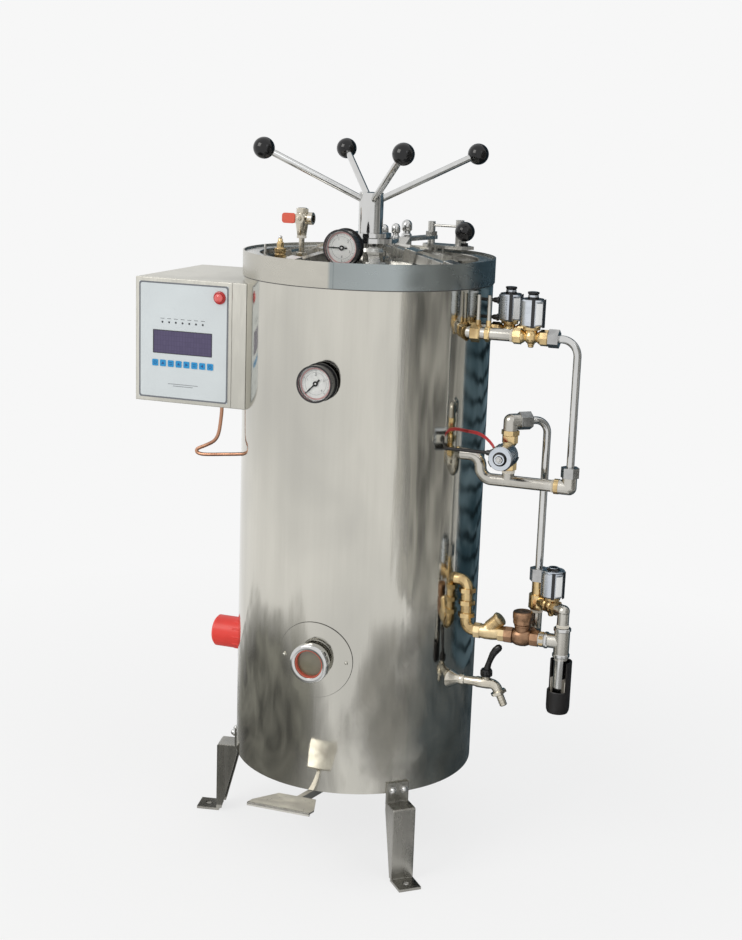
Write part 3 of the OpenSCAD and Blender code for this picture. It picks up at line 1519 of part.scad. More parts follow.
/* lock_bar_5 */ if (bar_n > 4) lock_bar(4);
/* lock_bar_6 */ if (bar_n > 5) lock_bar(5);
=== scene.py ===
"""Looks of the vertical autoclave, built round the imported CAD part: floor at z = 0, panel towards -Y.

The pieces are drawn in millimetres, as in the CAD source, and make() turns them into metres.
The floor, the cards, the lights, the camera and all sizes in materials are in metres.
"""

import math

import bmesh
import bpy
from mathutils import Matrix, Vector


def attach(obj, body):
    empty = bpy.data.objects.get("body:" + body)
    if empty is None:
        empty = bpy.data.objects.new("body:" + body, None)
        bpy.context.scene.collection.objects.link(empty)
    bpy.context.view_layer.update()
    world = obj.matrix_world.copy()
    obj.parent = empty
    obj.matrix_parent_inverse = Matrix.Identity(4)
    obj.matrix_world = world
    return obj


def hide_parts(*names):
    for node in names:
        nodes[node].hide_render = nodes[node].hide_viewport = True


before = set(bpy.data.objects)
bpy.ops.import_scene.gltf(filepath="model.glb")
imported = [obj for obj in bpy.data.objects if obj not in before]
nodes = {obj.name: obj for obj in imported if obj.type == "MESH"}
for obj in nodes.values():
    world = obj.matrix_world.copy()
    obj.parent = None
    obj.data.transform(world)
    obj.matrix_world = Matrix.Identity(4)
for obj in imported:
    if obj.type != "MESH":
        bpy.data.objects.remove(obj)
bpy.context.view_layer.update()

MM_PER_METRE = 1000
TO_METRES = Matrix.Scale(1 / MM_PER_METRE, 4)
TO_MILLIMETRES = Matrix.Scale(MM_PER_METRE, 4)
SHARP_EDGE = math.radians(32)
JACKET_BOTTOM = 155
JACKET_H = 904

# The pipes' plane and the rear line's distance behind it, then the lines' heights above the jacket's
# lower edge and their distances from the axis
PLUMB_Y = -74
REAR = 60
STEAM_Z, RISER_Z, MIDDLE_Z, LINK_Z, WATER_Z, TAP_Z = 829, 625, 573, 350, 293, 196
DROP_X, CHECK_X, STEAM_X, RISER_X, REAR_X = 409.5, 351, 323, 296, 269
TAP_STEM_X = 276
PIPE_R = 10.65

# The control box
BOX_LEFT = -399.5
BOX_FRONT = -134.6
BOX_BOTTOM = 820


# Node helpers

def new_material(name):
    mat = bpy.data.materials.new(name)
    mat.use_nodes = True
    return mat, mat.node_tree, mat.node_tree.nodes["Principled BSDF"]


def add(tree, kind, **settings):
    """Adds a shader node and sets its properties or input sockets by name."""
    node = tree.nodes.new(kind)
    for key, value in settings.items():
        if hasattr(node, key):
            setattr(node, key, value)
        else:
            node.inputs[key.replace("_", " ")].default_value = value
    return node


def object_coords(tree, scale):
    """Object coordinates, which are world metres at rest, stretched by scale."""
    coord = add(tree, "ShaderNodeTexCoord")
    mapping = add(tree, "ShaderNodeMapping")
    mapping.inputs["Scale"].default_value = scale
    tree.links.new(coord.outputs["Object"], mapping.inputs["Vector"])
    return mapping.outputs["Vector"]


def noise(tree, scale, detail=4.0, rough=0.55, distort=0.0):
    tex = add(tree, "ShaderNodeTexNoise")
    tex.inputs["Scale"].default_value = 1.0
    tex.inputs["Detail"].default_value = detail
    tex.inputs["Roughness"].default_value = rough
    tex.inputs["Distortion"].default_value = distort
    tree.links.new(object_coords(tree, scale), tex.inputs["Vector"])
    return tex.outputs["Fac"]


def ramp(tree, source, stops):
    """A colour ramp; stops are (position, colour)."""
    node = add(tree, "ShaderNodeValToRGB")
    elements = node.color_ramp.elements
    while len(elements) < len(stops):
        elements.new(0.5)
    for element, (position, colour) in zip(elements, stops):
        element.position = position
        element.color = (*colour, 1.0)
    tree.links.new(source, node.inputs["Fac"])
    return node.outputs["Color"]


def span(tree, source, low, high, from_low=0.3, from_high=0.7):
    node = add(tree, "ShaderNodeMapRange")
    node.inputs["From Min"].default_value = from_low
    node.inputs["From Max"].default_value = from_high
    node.inputs["To Min"].default_value = low
    node.inputs["To Max"].default_value = high
    tree.links.new(source, node.inputs["Value"])
    return node.outputs["Result"]


def mix_colours(tree, factor, a, b, blend="MIX"):
    node = add(tree, "ShaderNodeMix")
    node.data_type = "RGBA"
    node.blend_type = blend
    for socket, value in (("A", a), ("B", b)):
        target = [s for s in node.inputs if s.name == socket and s.type == "RGBA"][0]
        if isinstance(value, tuple):
            target.default_value = (*value, 1.0)
        else:
            tree.links.new(value, target)
    if isinstance(factor, float):
        node.inputs[0].default_value = factor
    else:
        tree.links.new(factor, node.inputs[0])
    return [s for s in node.outputs if s.type == "RGBA"][0]


def bump(tree, bsdf, height, distance, strength=1.0, edge=0.0):
    node = add(tree, "ShaderNodeBump")
    if edge:
        bevel = add(tree, "ShaderNodeBevel")
        bevel.samples = 4
        bevel.inputs["Radius"].default_value = edge
        tree.links.new(bevel.outputs["Normal"], node.inputs["Normal"])
    node.inputs["Distance"].default_value = distance
    node.inputs["Strength"].default_value = strength
    tree.links.new(height, node.inputs["Height"])
    tree.links.new(node.outputs["Normal"], bsdf.inputs["Normal"])


def shade(colour, factor):
    return tuple(min(1.0, c * factor) for c in colour)


# Materials

def metal(name, colour, rough, grain, contrast=0.12, spread=0.08, dents=0.0, blotch=4.0, dirt=None,
          edge=0.0):
    """Metal with a grain stretched along one axis, broad cloudy smears and an optional tarnish colour."""
    mat, tree, bsdf = new_material(name)
    bsdf.inputs["Metallic"].default_value = 1.0
    streaks = noise(tree, grain, 5.0, 0.6)
    clouds = noise(tree, (blotch, blotch, blotch * 0.45), 3.0, 0.5, 0.6)
    base = ramp(tree, streaks, [(0.28, shade(colour, 1 - contrast)), (0.72, shade(colour, 1 + contrast * 0.6))])
    dark = dirt or shade(colour, 1 - 1.4 * contrast)
    base = mix_colours(tree, span(tree, clouds, 0.0, 0.75, 0.42, 0.72), base, dark)
    tree.links.new(base, bsdf.inputs["Base Color"])
    tree.links.new(span(tree, streaks, rough, rough + spread), bsdf.inputs["Roughness"])
    if dents:
        bump(tree, bsdf, streaks, dents, 1.0, edge)
    return mat


def plastic(name, colour, rough, grain=900.0, depth=0.00004, coat=0.0, vary=0.08):
    mat, tree, bsdf = new_material(name)
    fine = noise(tree, (grain, grain, grain), 2.0)
    clouds = noise(tree, (14.0, 14.0, 14.0), 3.0)
    base = ramp(tree, clouds, [(0.3, shade(colour, 1 - vary)), (0.7, shade(colour, 1 + vary))])
    tree.links.new(base, bsdf.inputs["Base Color"])
    tree.links.new(span(tree, fine, rough, rough + 0.08), bsdf.inputs["Roughness"])
    bsdf.inputs["Coat Weight"].default_value = coat
    bsdf.inputs["Coat Roughness"].default_value = 0.06
    bump(tree, bsdf, fine, depth, 0.5)
    return mat


def glass(name, colour, rough=0.02):
    mat, tree, bsdf = new_material(name)
    bsdf.inputs["Transmission Weight"].default_value = 1.0
    bsdf.inputs["IOR"].default_value = 1.12
    smear = noise(tree, (60.0, 60.0, 60.0), 2.0)
    tree.links.new(ramp(tree, smear, [(0.3, colour), (0.7, shade(colour, 0.94))]), bsdf.inputs["Base Color"])
    tree.links.new(span(tree, smear, rough, rough + 0.03), bsdf.inputs["Roughness"])
    return mat


def wool(name, colour):
    mat, tree, bsdf = new_material(name)
    fibres = noise(tree, (160.0, 160.0, 420.0), 6.0, 0.7, 1.5)
    tree.links.new(ramp(tree, fibres, [(0.25, shade(colour, 0.55)), (0.75, shade(colour, 1.15))]),
                   bsdf.inputs["Base Color"])
    bsdf.inputs["Roughness"].default_value = 0.95
    bump(tree, bsdf, fibres, 0.002)
    return mat


def screen(name):
    """A dark display with the faint cells of its character rows."""
    mat, tree, bsdf = new_material(name)
    cells = add(tree, "ShaderNodeTexBrick")
    cells.offset = 0.0
    cells.inputs["Color1"].default_value = (0.075, 0.06, 0.13, 1.0)
    cells.inputs["Color2"].default_value = (0.085, 0.068, 0.145, 1.0)
    cells.inputs["Mortar"].default_value = (0.06, 0.048, 0.105, 1.0)
    cells.inputs["Scale"].default_value = 1.0
    cells.inputs["Mortar Size"].default_value = 0.06
    cells.inputs["Brick Width"].default_value = 1.0
    cells.inputs["Row Height"].default_value = 1.6
    turn = add(tree, "ShaderNodeMapping")
    turn.inputs["Rotation"].default_value = (math.radians(90), 0.0, 0.0)
    turn.inputs["Scale"].default_value = (180.0, 180.0, 180.0)
    coord = add(tree, "ShaderNodeTexCoord")
    tree.links.new(coord.outputs["Object"], turn.inputs["Vector"])
    tree.links.new(turn.outputs["Vector"], cells.inputs["Vector"])
    tree.links.new(cells.outputs["Color"], bsdf.inputs["Base Color"])
    smear = noise(tree, (40.0, 40.0, 40.0), 2.0)
    tree.links.new(span(tree, smear, 0.16, 0.26), bsdf.inputs["Roughness"])
    return mat


M = {
    "jacket": metal("jacket_polished", (0.66, 0.64, 0.575), 0.05, (22.0, 22.0, 1.1), 0.1, 0.08, 0.0003, 5.0,
                    (0.47, 0.46, 0.42)),
    "band": metal("band_brushed", (0.56, 0.54, 0.48), 0.2, (14.0, 14.0, 30.0), 0.05, 0.12, 0.00003, 6.0,
                  (0.46, 0.45, 0.41)),
    "stainless": metal("stainless_satin", (0.6, 0.59, 0.56), 0.22, (120.0, 120.0, 26.0), 0.12, 0.14, 0.00003,
                       9.0, None, 0.0008),
    "lid": metal("lid_spun", (0.74, 0.73, 0.695), 0.16, (24.0, 24.0, 24.0), 0.08, 0.14, 0.00002, 7.0,
                 (0.5, 0.49, 0.46), 0.0008),
    "polished": metal("polished_bar", (0.68, 0.68, 0.67), 0.06, (90.0, 90.0, 30.0), 0.06, 0.08, 0.0, 8.0),
    "box": metal("box_satin_sheet", (0.66, 0.645, 0.585), 0.34, (300.0, 300.0, 30.0), 0.1, 0.12, 0.00002, 7.0,
                 (0.5, 0.49, 0.44), 0.0022),
    "leg": metal("leg_sheet", (0.38, 0.37, 0.335), 0.2, (60.0, 60.0, 8.0), 0.16, 0.14, 0.0001, 12.0,
                 (0.26, 0.25, 0.235), 0.0026),
    "pipe": metal("pipe_pickled", (0.62, 0.6, 0.55), 0.15, (40.0, 40.0, 40.0), 0.1, 0.14, 0.00003, 16.0,
                  (0.42, 0.4, 0.36)),
    "nut": metal("nut_zinc", (0.54, 0.54, 0.53), 0.14, (80.0, 80.0, 80.0), 0.16, 0.16, 0.00004, 24.0,
                 (0.3, 0.3, 0.3), 0.0008),
    "brass": metal("brass_machined", (0.86, 0.65, 0.34), 0.14, (100.0, 100.0, 100.0), 0.2, 0.14, 0.00004, 22.0,
                   (0.24, 0.14, 0.055), 0.0008),
    "cast_brass": metal("brass_cast", (0.77, 0.61, 0.36), 0.26, (160.0, 160.0, 160.0), 0.18, 0.16, 0.0001, 26.0,
                        (0.36, 0.25, 0.12), 0.0008),
    "bronze": metal("bronze_dull", (0.42, 0.25, 0.15), 0.26, (160.0, 160.0, 160.0), 0.22, 0.16, 0.00012, 24.0,
                    (0.13, 0.075, 0.05), 0.0008),
    "copper": metal("copper_drawn", (0.62, 0.34, 0.22), 0.24, (60.0, 60.0, 60.0), 0.16, 0.14, 0.00004, 20.0,
                    (0.36, 0.18, 0.12)),
    "dark_steel": metal("dark_steel", (0.16, 0.155, 0.15), 0.4, (90.0, 90.0, 90.0), 0.2, 0.15, 0.0001, 18.0),
    "coil": metal("coil_case", (0.66, 0.7, 0.75), 0.2, (16.0, 16.0, 200.0), 0.08, 0.12, 0.00002, 20.0,
                  (0.46, 0.5, 0.56)),
    "film": plastic("film_print", (0.655, 0.7, 0.715), 0.3, 700.0, 0.00003, 0.3, 0.03),
    "screen": screen("display_glass"),
    "tap": metal("tap_satin", (0.7, 0.66, 0.57), 0.16, (60.0, 60.0, 60.0), 0.06, 0.12, 0.00001, 20.0,
                 (0.52, 0.47, 0.38), 0.0006),
    # The khaki's strong mottling (vary 0.3) is painted shade inside the sight glass
    "khaki": plastic("sight_inside", (0.165, 0.15, 0.098), 0.1, 90.0, 0.00002, 0.9, 0.3),
    "red": plastic("red_plastic", (0.48, 0.012, 0.012), 0.22, 500.0, 0.00004, 0.3),
    "lead": plastic("lead_red", (0.55, 0.045, 0.05), 0.35, 500.0, 0.00002),
    "sleeve": plastic("lever_sleeve", (0.83, 0.13, 0.075), 0.36, 300.0, 0.00006, 0.1),
    "pedal": metal("pedal_sheet", (0.7, 0.68, 0.62), 0.26, (80.0, 80.0, 30.0), 0.14, 0.14, 0.0001, 14.0,
                   (0.36, 0.34, 0.31), 0.0008),
    "red_cap": plastic("red_cap", (0.9, 0.055, 0.04), 0.38, 300.0, 0.00008, 0.1),
    "black": plastic("black_gloss", (0.003, 0.003, 0.0035), 0.06, 400.0, 0.00001, 0.0),
    "case": plastic("black_enamel", (0.007, 0.007, 0.008), 0.24, 500.0, 0.00005, 0.2),
    "black_rubber": plastic("black_rubber", (0.0055, 0.0045, 0.0045), 0.38, 260.0, 0.0001),
    "red_rubber": plastic("red_rubber", (0.52, 0.1, 0.06), 0.5, 260.0, 0.0001),
    "dial": plastic("dial_white", (0.86, 0.85, 0.84), 0.5, 700.0, 0.00001, 0.0, 0.02),
    "white": plastic("label_white", (0.84, 0.84, 0.83), 0.4, 700.0, 0.00002, 0.0, 0.02),
    "pink": plastic("dial_ring_pink", (0.72, 0.42, 0.42), 0.5, 700.0, 0.00001, 0.0, 0.04),
    "ink": plastic("print_dark", (0.035, 0.037, 0.045), 0.4, 700.0, 0.00001),
    "grey_ink": plastic("print_grey", (0.16, 0.17, 0.19), 0.4, 700.0, 0.00001),
    "blue": plastic("key_blue", (0.01, 0.27, 0.58), 0.3, 600.0, 0.00003, 0.1),
    "deep_blue": plastic("key_symbol", (0.012, 0.07, 0.24), 0.3, 600.0, 0.00002),
    "board": plastic("board_green", (0.03, 0.16, 0.07), 0.35, 300.0, 0.0001, 0.3, 0.3),
    "lamp": plastic("lamp_lens", (0.8, 0.12, 0.11), 0.12, 300.0, 0.00003, 0.8),
    "tape": plastic("thread_tape", (0.72, 0.68, 0.6), 0.6, 500.0, 0.00006),
    "wool": wool("mineral_wool", (0.62, 0.52, 0.3)),
    "glass": glass("gauge_glass", (0.98, 0.99, 0.98)),
    "sight": glass("sight_glass", (0.62, 0.6, 0.42), 0.05),
}


def two_tone_band(mat):
    """The band keeps its own warm colour left of its seam; right of it, a painted bluish reflection with a
    painted highlight and painted shade fades back behind the machine.
    """
    tree = mat.node_tree
    bsdf = tree.nodes["Principled BSDF"]
    plain = bsdf.inputs["Base Color"].links[0].from_socket
    turn = add(tree, "ShaderNodeTexGradient", gradient_type="RADIAL")
    tree.links.new(object_coords(tree, (1.0, 1.0, 1.0)), turn.inputs["Vector"])
    white, cool = (1.0, 1.0, 1.0), (0.6, 0.68, 0.76)
    # Right of the seam: painted bluish reflection, lighter at 0.33 as a painted highlight and darker at 0.6 as
    # painted shade
    stops = [(0.0, white), (0.2547, white), (0.2553, cool), (0.33, shade(cool, 1.25)), (0.4, cool),
             (0.6, shade(cool, 0.85)), (0.74, white)]
    tint = ramp(tree, turn.outputs["Fac"], stops)
    tree.links.new(mix_colours(tree, 1.0, plain, tint, "MULTIPLY"), bsdf.inputs["Base Color"])


two_tone_band(M["band"])

FINISH = {
    "jacket": "jacket", "top_band": "band", "vessel": "stainless", "vessel_ring": "lid", "insulation": "wool",
    "base_plate": "stainless", "legs": "leg", "leg_bolts": "polished", "heaters": "dark_steel",
    "heater_cap": "red_cap", "basket_stand": "stainless", "sight_plate": "jacket", "sight_ring": "polished",
    "sight_glass": "sight", "sight_gasket": "red_rubber", "jacket_gauge": "case", "jacket_gauge_dial": "dial",
    "jacket_gauge_glass": "glass", "jacket_gauge_needle": "black", "box_shell": "box", "control_board": "board",
    "box_door": "box", "panel_film": "film", "display": "screen", "alarm_lamp": "red", "copper_tube": "copper",
    "pipework": "pipe", "brass_fittings": "brass", "solenoid_bodies": "brass", "solenoid_coils": "coil",
    "coil_leads": "black_rubber", "union_nuts": "nut", "steam_tube": "polished", "drain_tube": "polished",
    "strainer": "cast_brass", "check_valve": "bronze", "outlet_boot": "black_rubber", "drain_tap": "tap",
    "tap_lever": "black", "pedal": "leg", "lid_gasket": "red_rubber", "lid": "lid", "lift_arm": "stainless",
    "arm_knob": "black", "ball_valve": "stainless", "valve_lever": "red", "safety_valve": "brass",
    "relief_valves": "polished", "lid_gauge": "case", "lid_gauge_dial": "dial", "lid_gauge_glass": "glass",
    "lid_gauge_needle": "black", "handle": "polished", "handle_knobs": "black",
}
for name, obj in nodes.items():
    finish = M[FINISH.get(name, "stainless")]
    for material_slot in obj.material_slots:
        material_slot.material = finish


# Mesh helpers

def moved(x, y, z):
    return Matrix.Translation((x, y, z))


def turned(degrees, axis):
    return Matrix.Rotation(math.radians(degrees), 4, axis)


def at(az, r=0, z=0):
    """The frame at an azimuth, a radius and a height above the jacket's lower edge, as in the CAD source."""
    return turned(az, "Z") @ moved(0, -r, JACKET_BOTTOM + z)


# Turns a piece drawn along Z to point out of the front, and to lie along X
OUT = turned(90, "X")
ALONG_X = turned(90, "Y")


def plumb(x, z, back=0):
    """A place in the pipes' plane."""
    return moved(x, PLUMB_Y + back, JACKET_BOTTOM + z)


def link_object(name, data):
    obj = bpy.data.objects.new(name, data)
    bpy.context.scene.collection.objects.link(obj)
    return obj


def mesh_object(name, bm, material):
    """Turns a bmesh into an object with one material and frees it."""
    mesh = bpy.data.meshes.new(name)
    bm.to_mesh(mesh)
    bm.free()
    mesh.materials.append(material)
    return link_object(name, mesh)


def make(name, bm, material, body="machine", smooth=True, replaces=()):
    """Makes a piece of the part from a bmesh; replaces names the nodes it stands in for."""
    bmesh.ops.recalc_face_normals(bm, faces=bm.faces)
    bm.transform(TO_METRES)
    obj = mesh_object(name, bm, M[material])
    mesh = obj.data
    if smooth:
        mesh.shade_smooth()
        mesh.set_sharp_from_angle(angle=SHARP_EDGE)
    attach(obj, body)
    if replaces:
        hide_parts(*replaces)


def circle(count, r):
    """Points on a circle, as (x, y)."""
    return [(r * math.cos(t), r * math.sin(t)) for t in (2 * math.pi * i / count for i in range(count))]


def row(bm, points, place):
    return [bm.verts.new(place @ Vector(p)) for p in points]


def skin(bm, rows, wrap=True, close=False):
    """Faces between neighbouring rows; wrap closes each row, close joins the last row to the first."""
    for a, b in zip(rows, rows[1:] + rows[:1] if close else rows[1:]):
        for i in range(len(a) if wrap else len(a) - 1):
            j = (i + 1) % len(a)
            bm.faces.new((a[i], a[j], b[j], b[i]))


def spin(bm, profile, count=48, place=Matrix()):
    """Revolves an (r, z) profile about Z; an end on the axis closes to a point."""
    rings = [row(bm, [(x, y, z) for x, y in circle(count, r)] if r else [(0, 0, z)], place) for r, z in profile]
    for low, high in zip(rings, rings[1:]):
        for i in range(count):
            j = (i + 1) % count
            if len(low) == 1:
                bm.faces.new((low[0], high[i], high[j]))
            elif len(high) == 1:
                bm.faces.new((low[i], low[j], high[0]))
            else:
                bm.faces.new((low[i], low[j], high[j], high[i]))


def ring(bm, r_out, r_in, z0, z1, place=Matrix(), count=64, edge=0):
    """A straight ring with broken edges."""
    outside = [(r_out, z0), (r_out, z1)]
    if edge:
        outside = [(r_out - edge, z0), (r_out, z0 + edge), (r_out, z1 - edge), (r_out - edge, z1)]
    spin_closed(bm, [(r_in, z0)] + outside + [(r_in, z1)], count, place)


def spin_closed(bm, profile, count=48, place=Matrix()):
    """Revolves a profile whose last point joins its first."""
    skin(bm, [row(bm, [(x, y, z) for x, y in circle(count, r)], place) for r, z in profile], close=True)


def slab(bm, outline, z0, z1, place=Matrix()):
    """Extrudes an outline of (x, y) points from z0 to z1."""
    low, high = [row(bm, [(x, y, z) for x, y in outline], place) for z in (z0, z1)]
    bm.faces.new(list(reversed(low)))
    bm.faces.new(high)
    skin(bm, [low, high])


def block(bm, x0, x1, y0, y1, z0, z1, place=Matrix()):
    slab(bm, [(x0, y0), (x1, y0), (x1, y1), (x0, y1)], z0, z1, place)


def rounded(w, h, r, steps=5, x=0, y=0):
    """The outline of a rectangle with round corners, centred on x, y."""
    points = []
    for cx, cy, start in ((w / 2 - r, h / 2 - r, 0), (-w / 2 + r, h / 2 - r, 90),
                          (-w / 2 + r, -h / 2 + r, 180), (w / 2 - r, -h / 2 + r, 270)):
        for i in range(steps + 1):
            t = math.radians(start + 90 * i / steps)
            points.append((x + cx + r * math.cos(t), y + cy + r * math.sin(t)))
    return points


def frame_slab(bm, outer, inner, z0, z1, place=Matrix()):
    """A flat frame between two outlines with the same number of points."""
    skin(bm, [row(bm, [(x, y, z) for x, y in outline], place)
              for outline, z in ((outer, z0), (outer, z1), (inner, z1), (inner, z0))], close=True)


def polygon_outline(af, sides=6):
    """A regular polygon; af is the distance across its flats."""
    return circle(sides, af / 2 / math.cos(math.pi / sides))


def tube(bm, points, radius, sides=16, place=Matrix(), radii=None):
    """A round bar along points; radii, if given, is its radius at each of them."""
    points = [Vector(p) for p in points]
    rings = []
    up = Vector((0, 1, 0))
    for i, p in enumerate(points):
        along = (points[min(i + 1, len(points) - 1)] - points[max(i - 1, 0)]).normalized()
        side = along.cross(up).normalized()
        other = side.cross(along).normalized()
        r = radii[i] if radii else radius
        rings.append(row(bm, [p + x * side + y * other for x, y in circle(sides, r)], place))
    skin(bm, rings)
    bm.faces.new(list(reversed(rings[0])))
    bm.faces.new(rings[-1])


def smoothed(path, parts=4):
    """A smooth curve through a path of (x, z) points, cut in so many parts between neighbours."""
    points = []
    for i in range(len(path) - 1):
        a, b = path[i], path[i + 1]
        before, after = path[max(i - 1, 0)], path[min(i + 2, len(path) - 1)]
        for t in (k / parts for k in range(parts)):
            points.append(tuple(
                (2 * a[n] + (b[n] - before[n]) * t + (2 * before[n] - 5 * a[n] + 4 * b[n] - after[n]) * t * t
                 + (3 * a[n] - before[n] - 3 * b[n] + after[n]) * t ** 3) / 2 for n in (0, 1)))
    return points + [path[-1]]


def digits(bm, text, size, place, thick=0.12):
    """Plain numbers as raised print; the font is filled at its real size."""
    curve = bpy.data.curves.new("digits", "FONT")
    curve.body = text
    curve.size = size / MM_PER_METRE
    curve.align_x = "CENTER"
    curve.align_y = "CENTER"
    curve.extrude = thick / 2 / MM_PER_METRE
    holder = bpy.data.objects.new("digits", curve)
    mesh = bpy.data.meshes.new_from_object(holder)
    mesh.transform(place @ moved(0, 0, thick / 2) @ TO_MILLIMETRES)
    bm.from_mesh(mesh)
    bpy.data.objects.remove(holder)
    bpy.data.curves.remove(curve)
    bpy.data.meshes.remove(mesh)


# Dials

DIAL_FACE = 19
PRINT = 0.1
SWEEP = 270
TICK_OUT = 24.3
NUMBERS_R, NUMBERS_H = 15.5, 6.2


def dial_print(name, place, body, start, top):
    """Ticks, numbers and the pink ring on a white dial; start is the direction of zero in degrees."""
    bm = bmesh.new()
    ring(bm, 27.5, 24.8, DIAL_FACE, DIAL_FACE + PRINT, place, 96)
    make(name + "_ring", bm, "pink", body, smooth=False)
    bm = bmesh.new()
    ring(bm, 19.2, 18.9, DIAL_FACE, DIAL_FACE + PRINT, place, 96)
    marks = top * 10
    for i in range(marks + 1):
        t = math.radians(start - SWEEP * i / marks)
        long = i % 10 == 0
        half = i % 5 == 0
        inner = 20.5 if long else 21.8 if half else 22.6
        width = 0.6 if long else 0.35
        turn = place @ Matrix.Rotation(t, 4, "Z")
        block(bm, inner, TICK_OUT, -width / 2, width / 2, DIAL_FACE, DIAL_FACE + PRINT, turn)
    for value in range(top + 1):
        t = math.radians(start - SWEEP * value / top)
        spot = moved(NUMBERS_R * math.cos(t), NUMBERS_R * math.sin(t), DIAL_FACE)
        digits(bm, str(value), NUMBERS_H, place @ spot)
    make(name + "_marks", bm, "ink", body, smooth=False)


jacket_gauge = at(0, 234, 746) @ OUT
lid_gauge = at(-1.3, 118, 965) @ OUT
dial_print("jacket_dial", jacket_gauge, "machine", 225, 4)
dial_print("lid_dial", lid_gauge, "lid", 180, 4)


# Control panel

PANEL = moved(BOX_LEFT, BOX_FRONT, BOX_BOTTOM) @ OUT
FILM_FRONT = 0.8
KEY_FRONT = 1.6
KEYS, KEY_X, KEY_STEP, KEY_Y, KEY_W = 8, 40, 15.7, 72, 12
LAMPS, LAMP_X, LAMP_STEP, LAMP_Y = 7, 54, 13.4, 147
ARROWS = {1: 0, 3: 0, 4: 270, 6: 90}
BARS = (2, 5)

bm = bmesh.new()
film_x, film_z = 95.5, 113
frame_slab(bm, rounded(177, 212, 5, 5, film_x, film_z), rounded(171.5, 206.5, 4, 5, film_x, film_z),
           FILM_FRONT, FILM_FRONT + 0.2, PANEL)
for y, w in ((34.5, 60), (31, 40)):
    slab(bm, rounded(w, 0.9, 0.4, 2, film_x, y), FILM_FRONT, FILM_FRONT + 0.15, PANEL)
make("panel_print", bm, "grey_ink", "door", smooth=False)

bm = bmesh.new()
for i in range(KEYS):
    key = rounded(KEY_W, KEY_W, 1.8, 4, KEY_X + KEY_STEP * i, KEY_Y)
    slab(bm, key, KEY_FRONT - 0.4, KEY_FRONT + 0.3, PANEL)
make("panel_keys", bm, "blue", "door")

bm = bmesh.new()
for i in range(KEYS):
    x, y = KEY_X + KEY_STEP * i, KEY_Y
    if i in ARROWS:
        tip = moved(x, y, 0) @ turned(ARROWS[i], "Z")
        slab(bm, [(-3, -2), (3, -2), (0, 3.2)], KEY_FRONT + 0.3, KEY_FRONT + 0.4, PANEL @ tip)
    elif i in BARS:
        for step in (-1.8, 1.8):
            slab(bm, rounded(6, 1.2, 0.5, 2, x, y + step), KEY_FRONT + 0.3, KEY_FRONT + 0.4, PANEL)
    else:
        frame_slab(bm, rounded(6.2, 6.2, 3, 5, x, y), rounded(4, 4, 1.9, 5, x, y),
                   KEY_FRONT + 0.3, KEY_FRONT + 0.4, PANEL)
make("panel_key_symbols", bm, "deep_blue", "door", smooth=False)

bm = bmesh.new()
for i in range(LAMPS):
    x = LAMP_X + LAMP_STEP * i
    spin(bm, [(0, 2.1), (1.2, 1.9), (1.9, 1.2), (1.9, 0.8)], 20, PANEL @ moved(x, LAMP_Y, 0))
    slab(bm, rounded(7.8, 0.8, 0.3, 2, x, LAMP_Y + 6.5), FILM_FRONT, FILM_FRONT + 0.12, PANEL)
make("panel_lamps", bm, "ink", "door")

bm = bmesh.new()
frame_slab(bm, rounded(118, 43, 1, 3, 94, 111), rounded(115.8, 40.8, 0.6, 3, 94, 111),
           FILM_FRONT, FILM_FRONT + 0.3, PANEL)
make("display_bezel", bm, "ink", "door")

bm = bmesh.new()
lamp = PANEL @ moved(167, 198, 0)
spin(bm, [(0, 9.8), (3, 9.5), (6, 8.6), (7.8, 7), (8.2, 5.2), (8.2, 3)], 40, lamp)
make("alarm_lens", bm, "lamp", "door")
bm = bmesh.new()
spin_closed(bm, [(8.3, 0.8), (11.6, 0.8), (11.6, 2.6), (10.6, 4), (9, 4.6), (8.3, 4)], 48, lamp)
make("alarm_bezel", bm, "red", "door", replaces=("alarm_lamp",))


# Solenoid coils

def patch(bm, r0, r1, a0, a1, z0, z1, place, steps=8):
    """A curved plate on a cylinder about Z; angles are azimuths from -Y."""
    angles = [math.radians(a0 + (a1 - a0) * i / steps) for i in range(steps + 1)]
    rows = [row(bm, [(r * math.sin(t), -r * math.cos(t), z) for t in angles], place)
            for r, z in ((r0, z0), (r1, z0), (r1, z1), (r0, z1))]
    skin(bm, rows, wrap=False, close=True)
    for i in (0, steps):
        bm.faces.new([r[i] for r in rows])


COIL_R, COIL_H, COIL_FOOT = 21, 47, 18
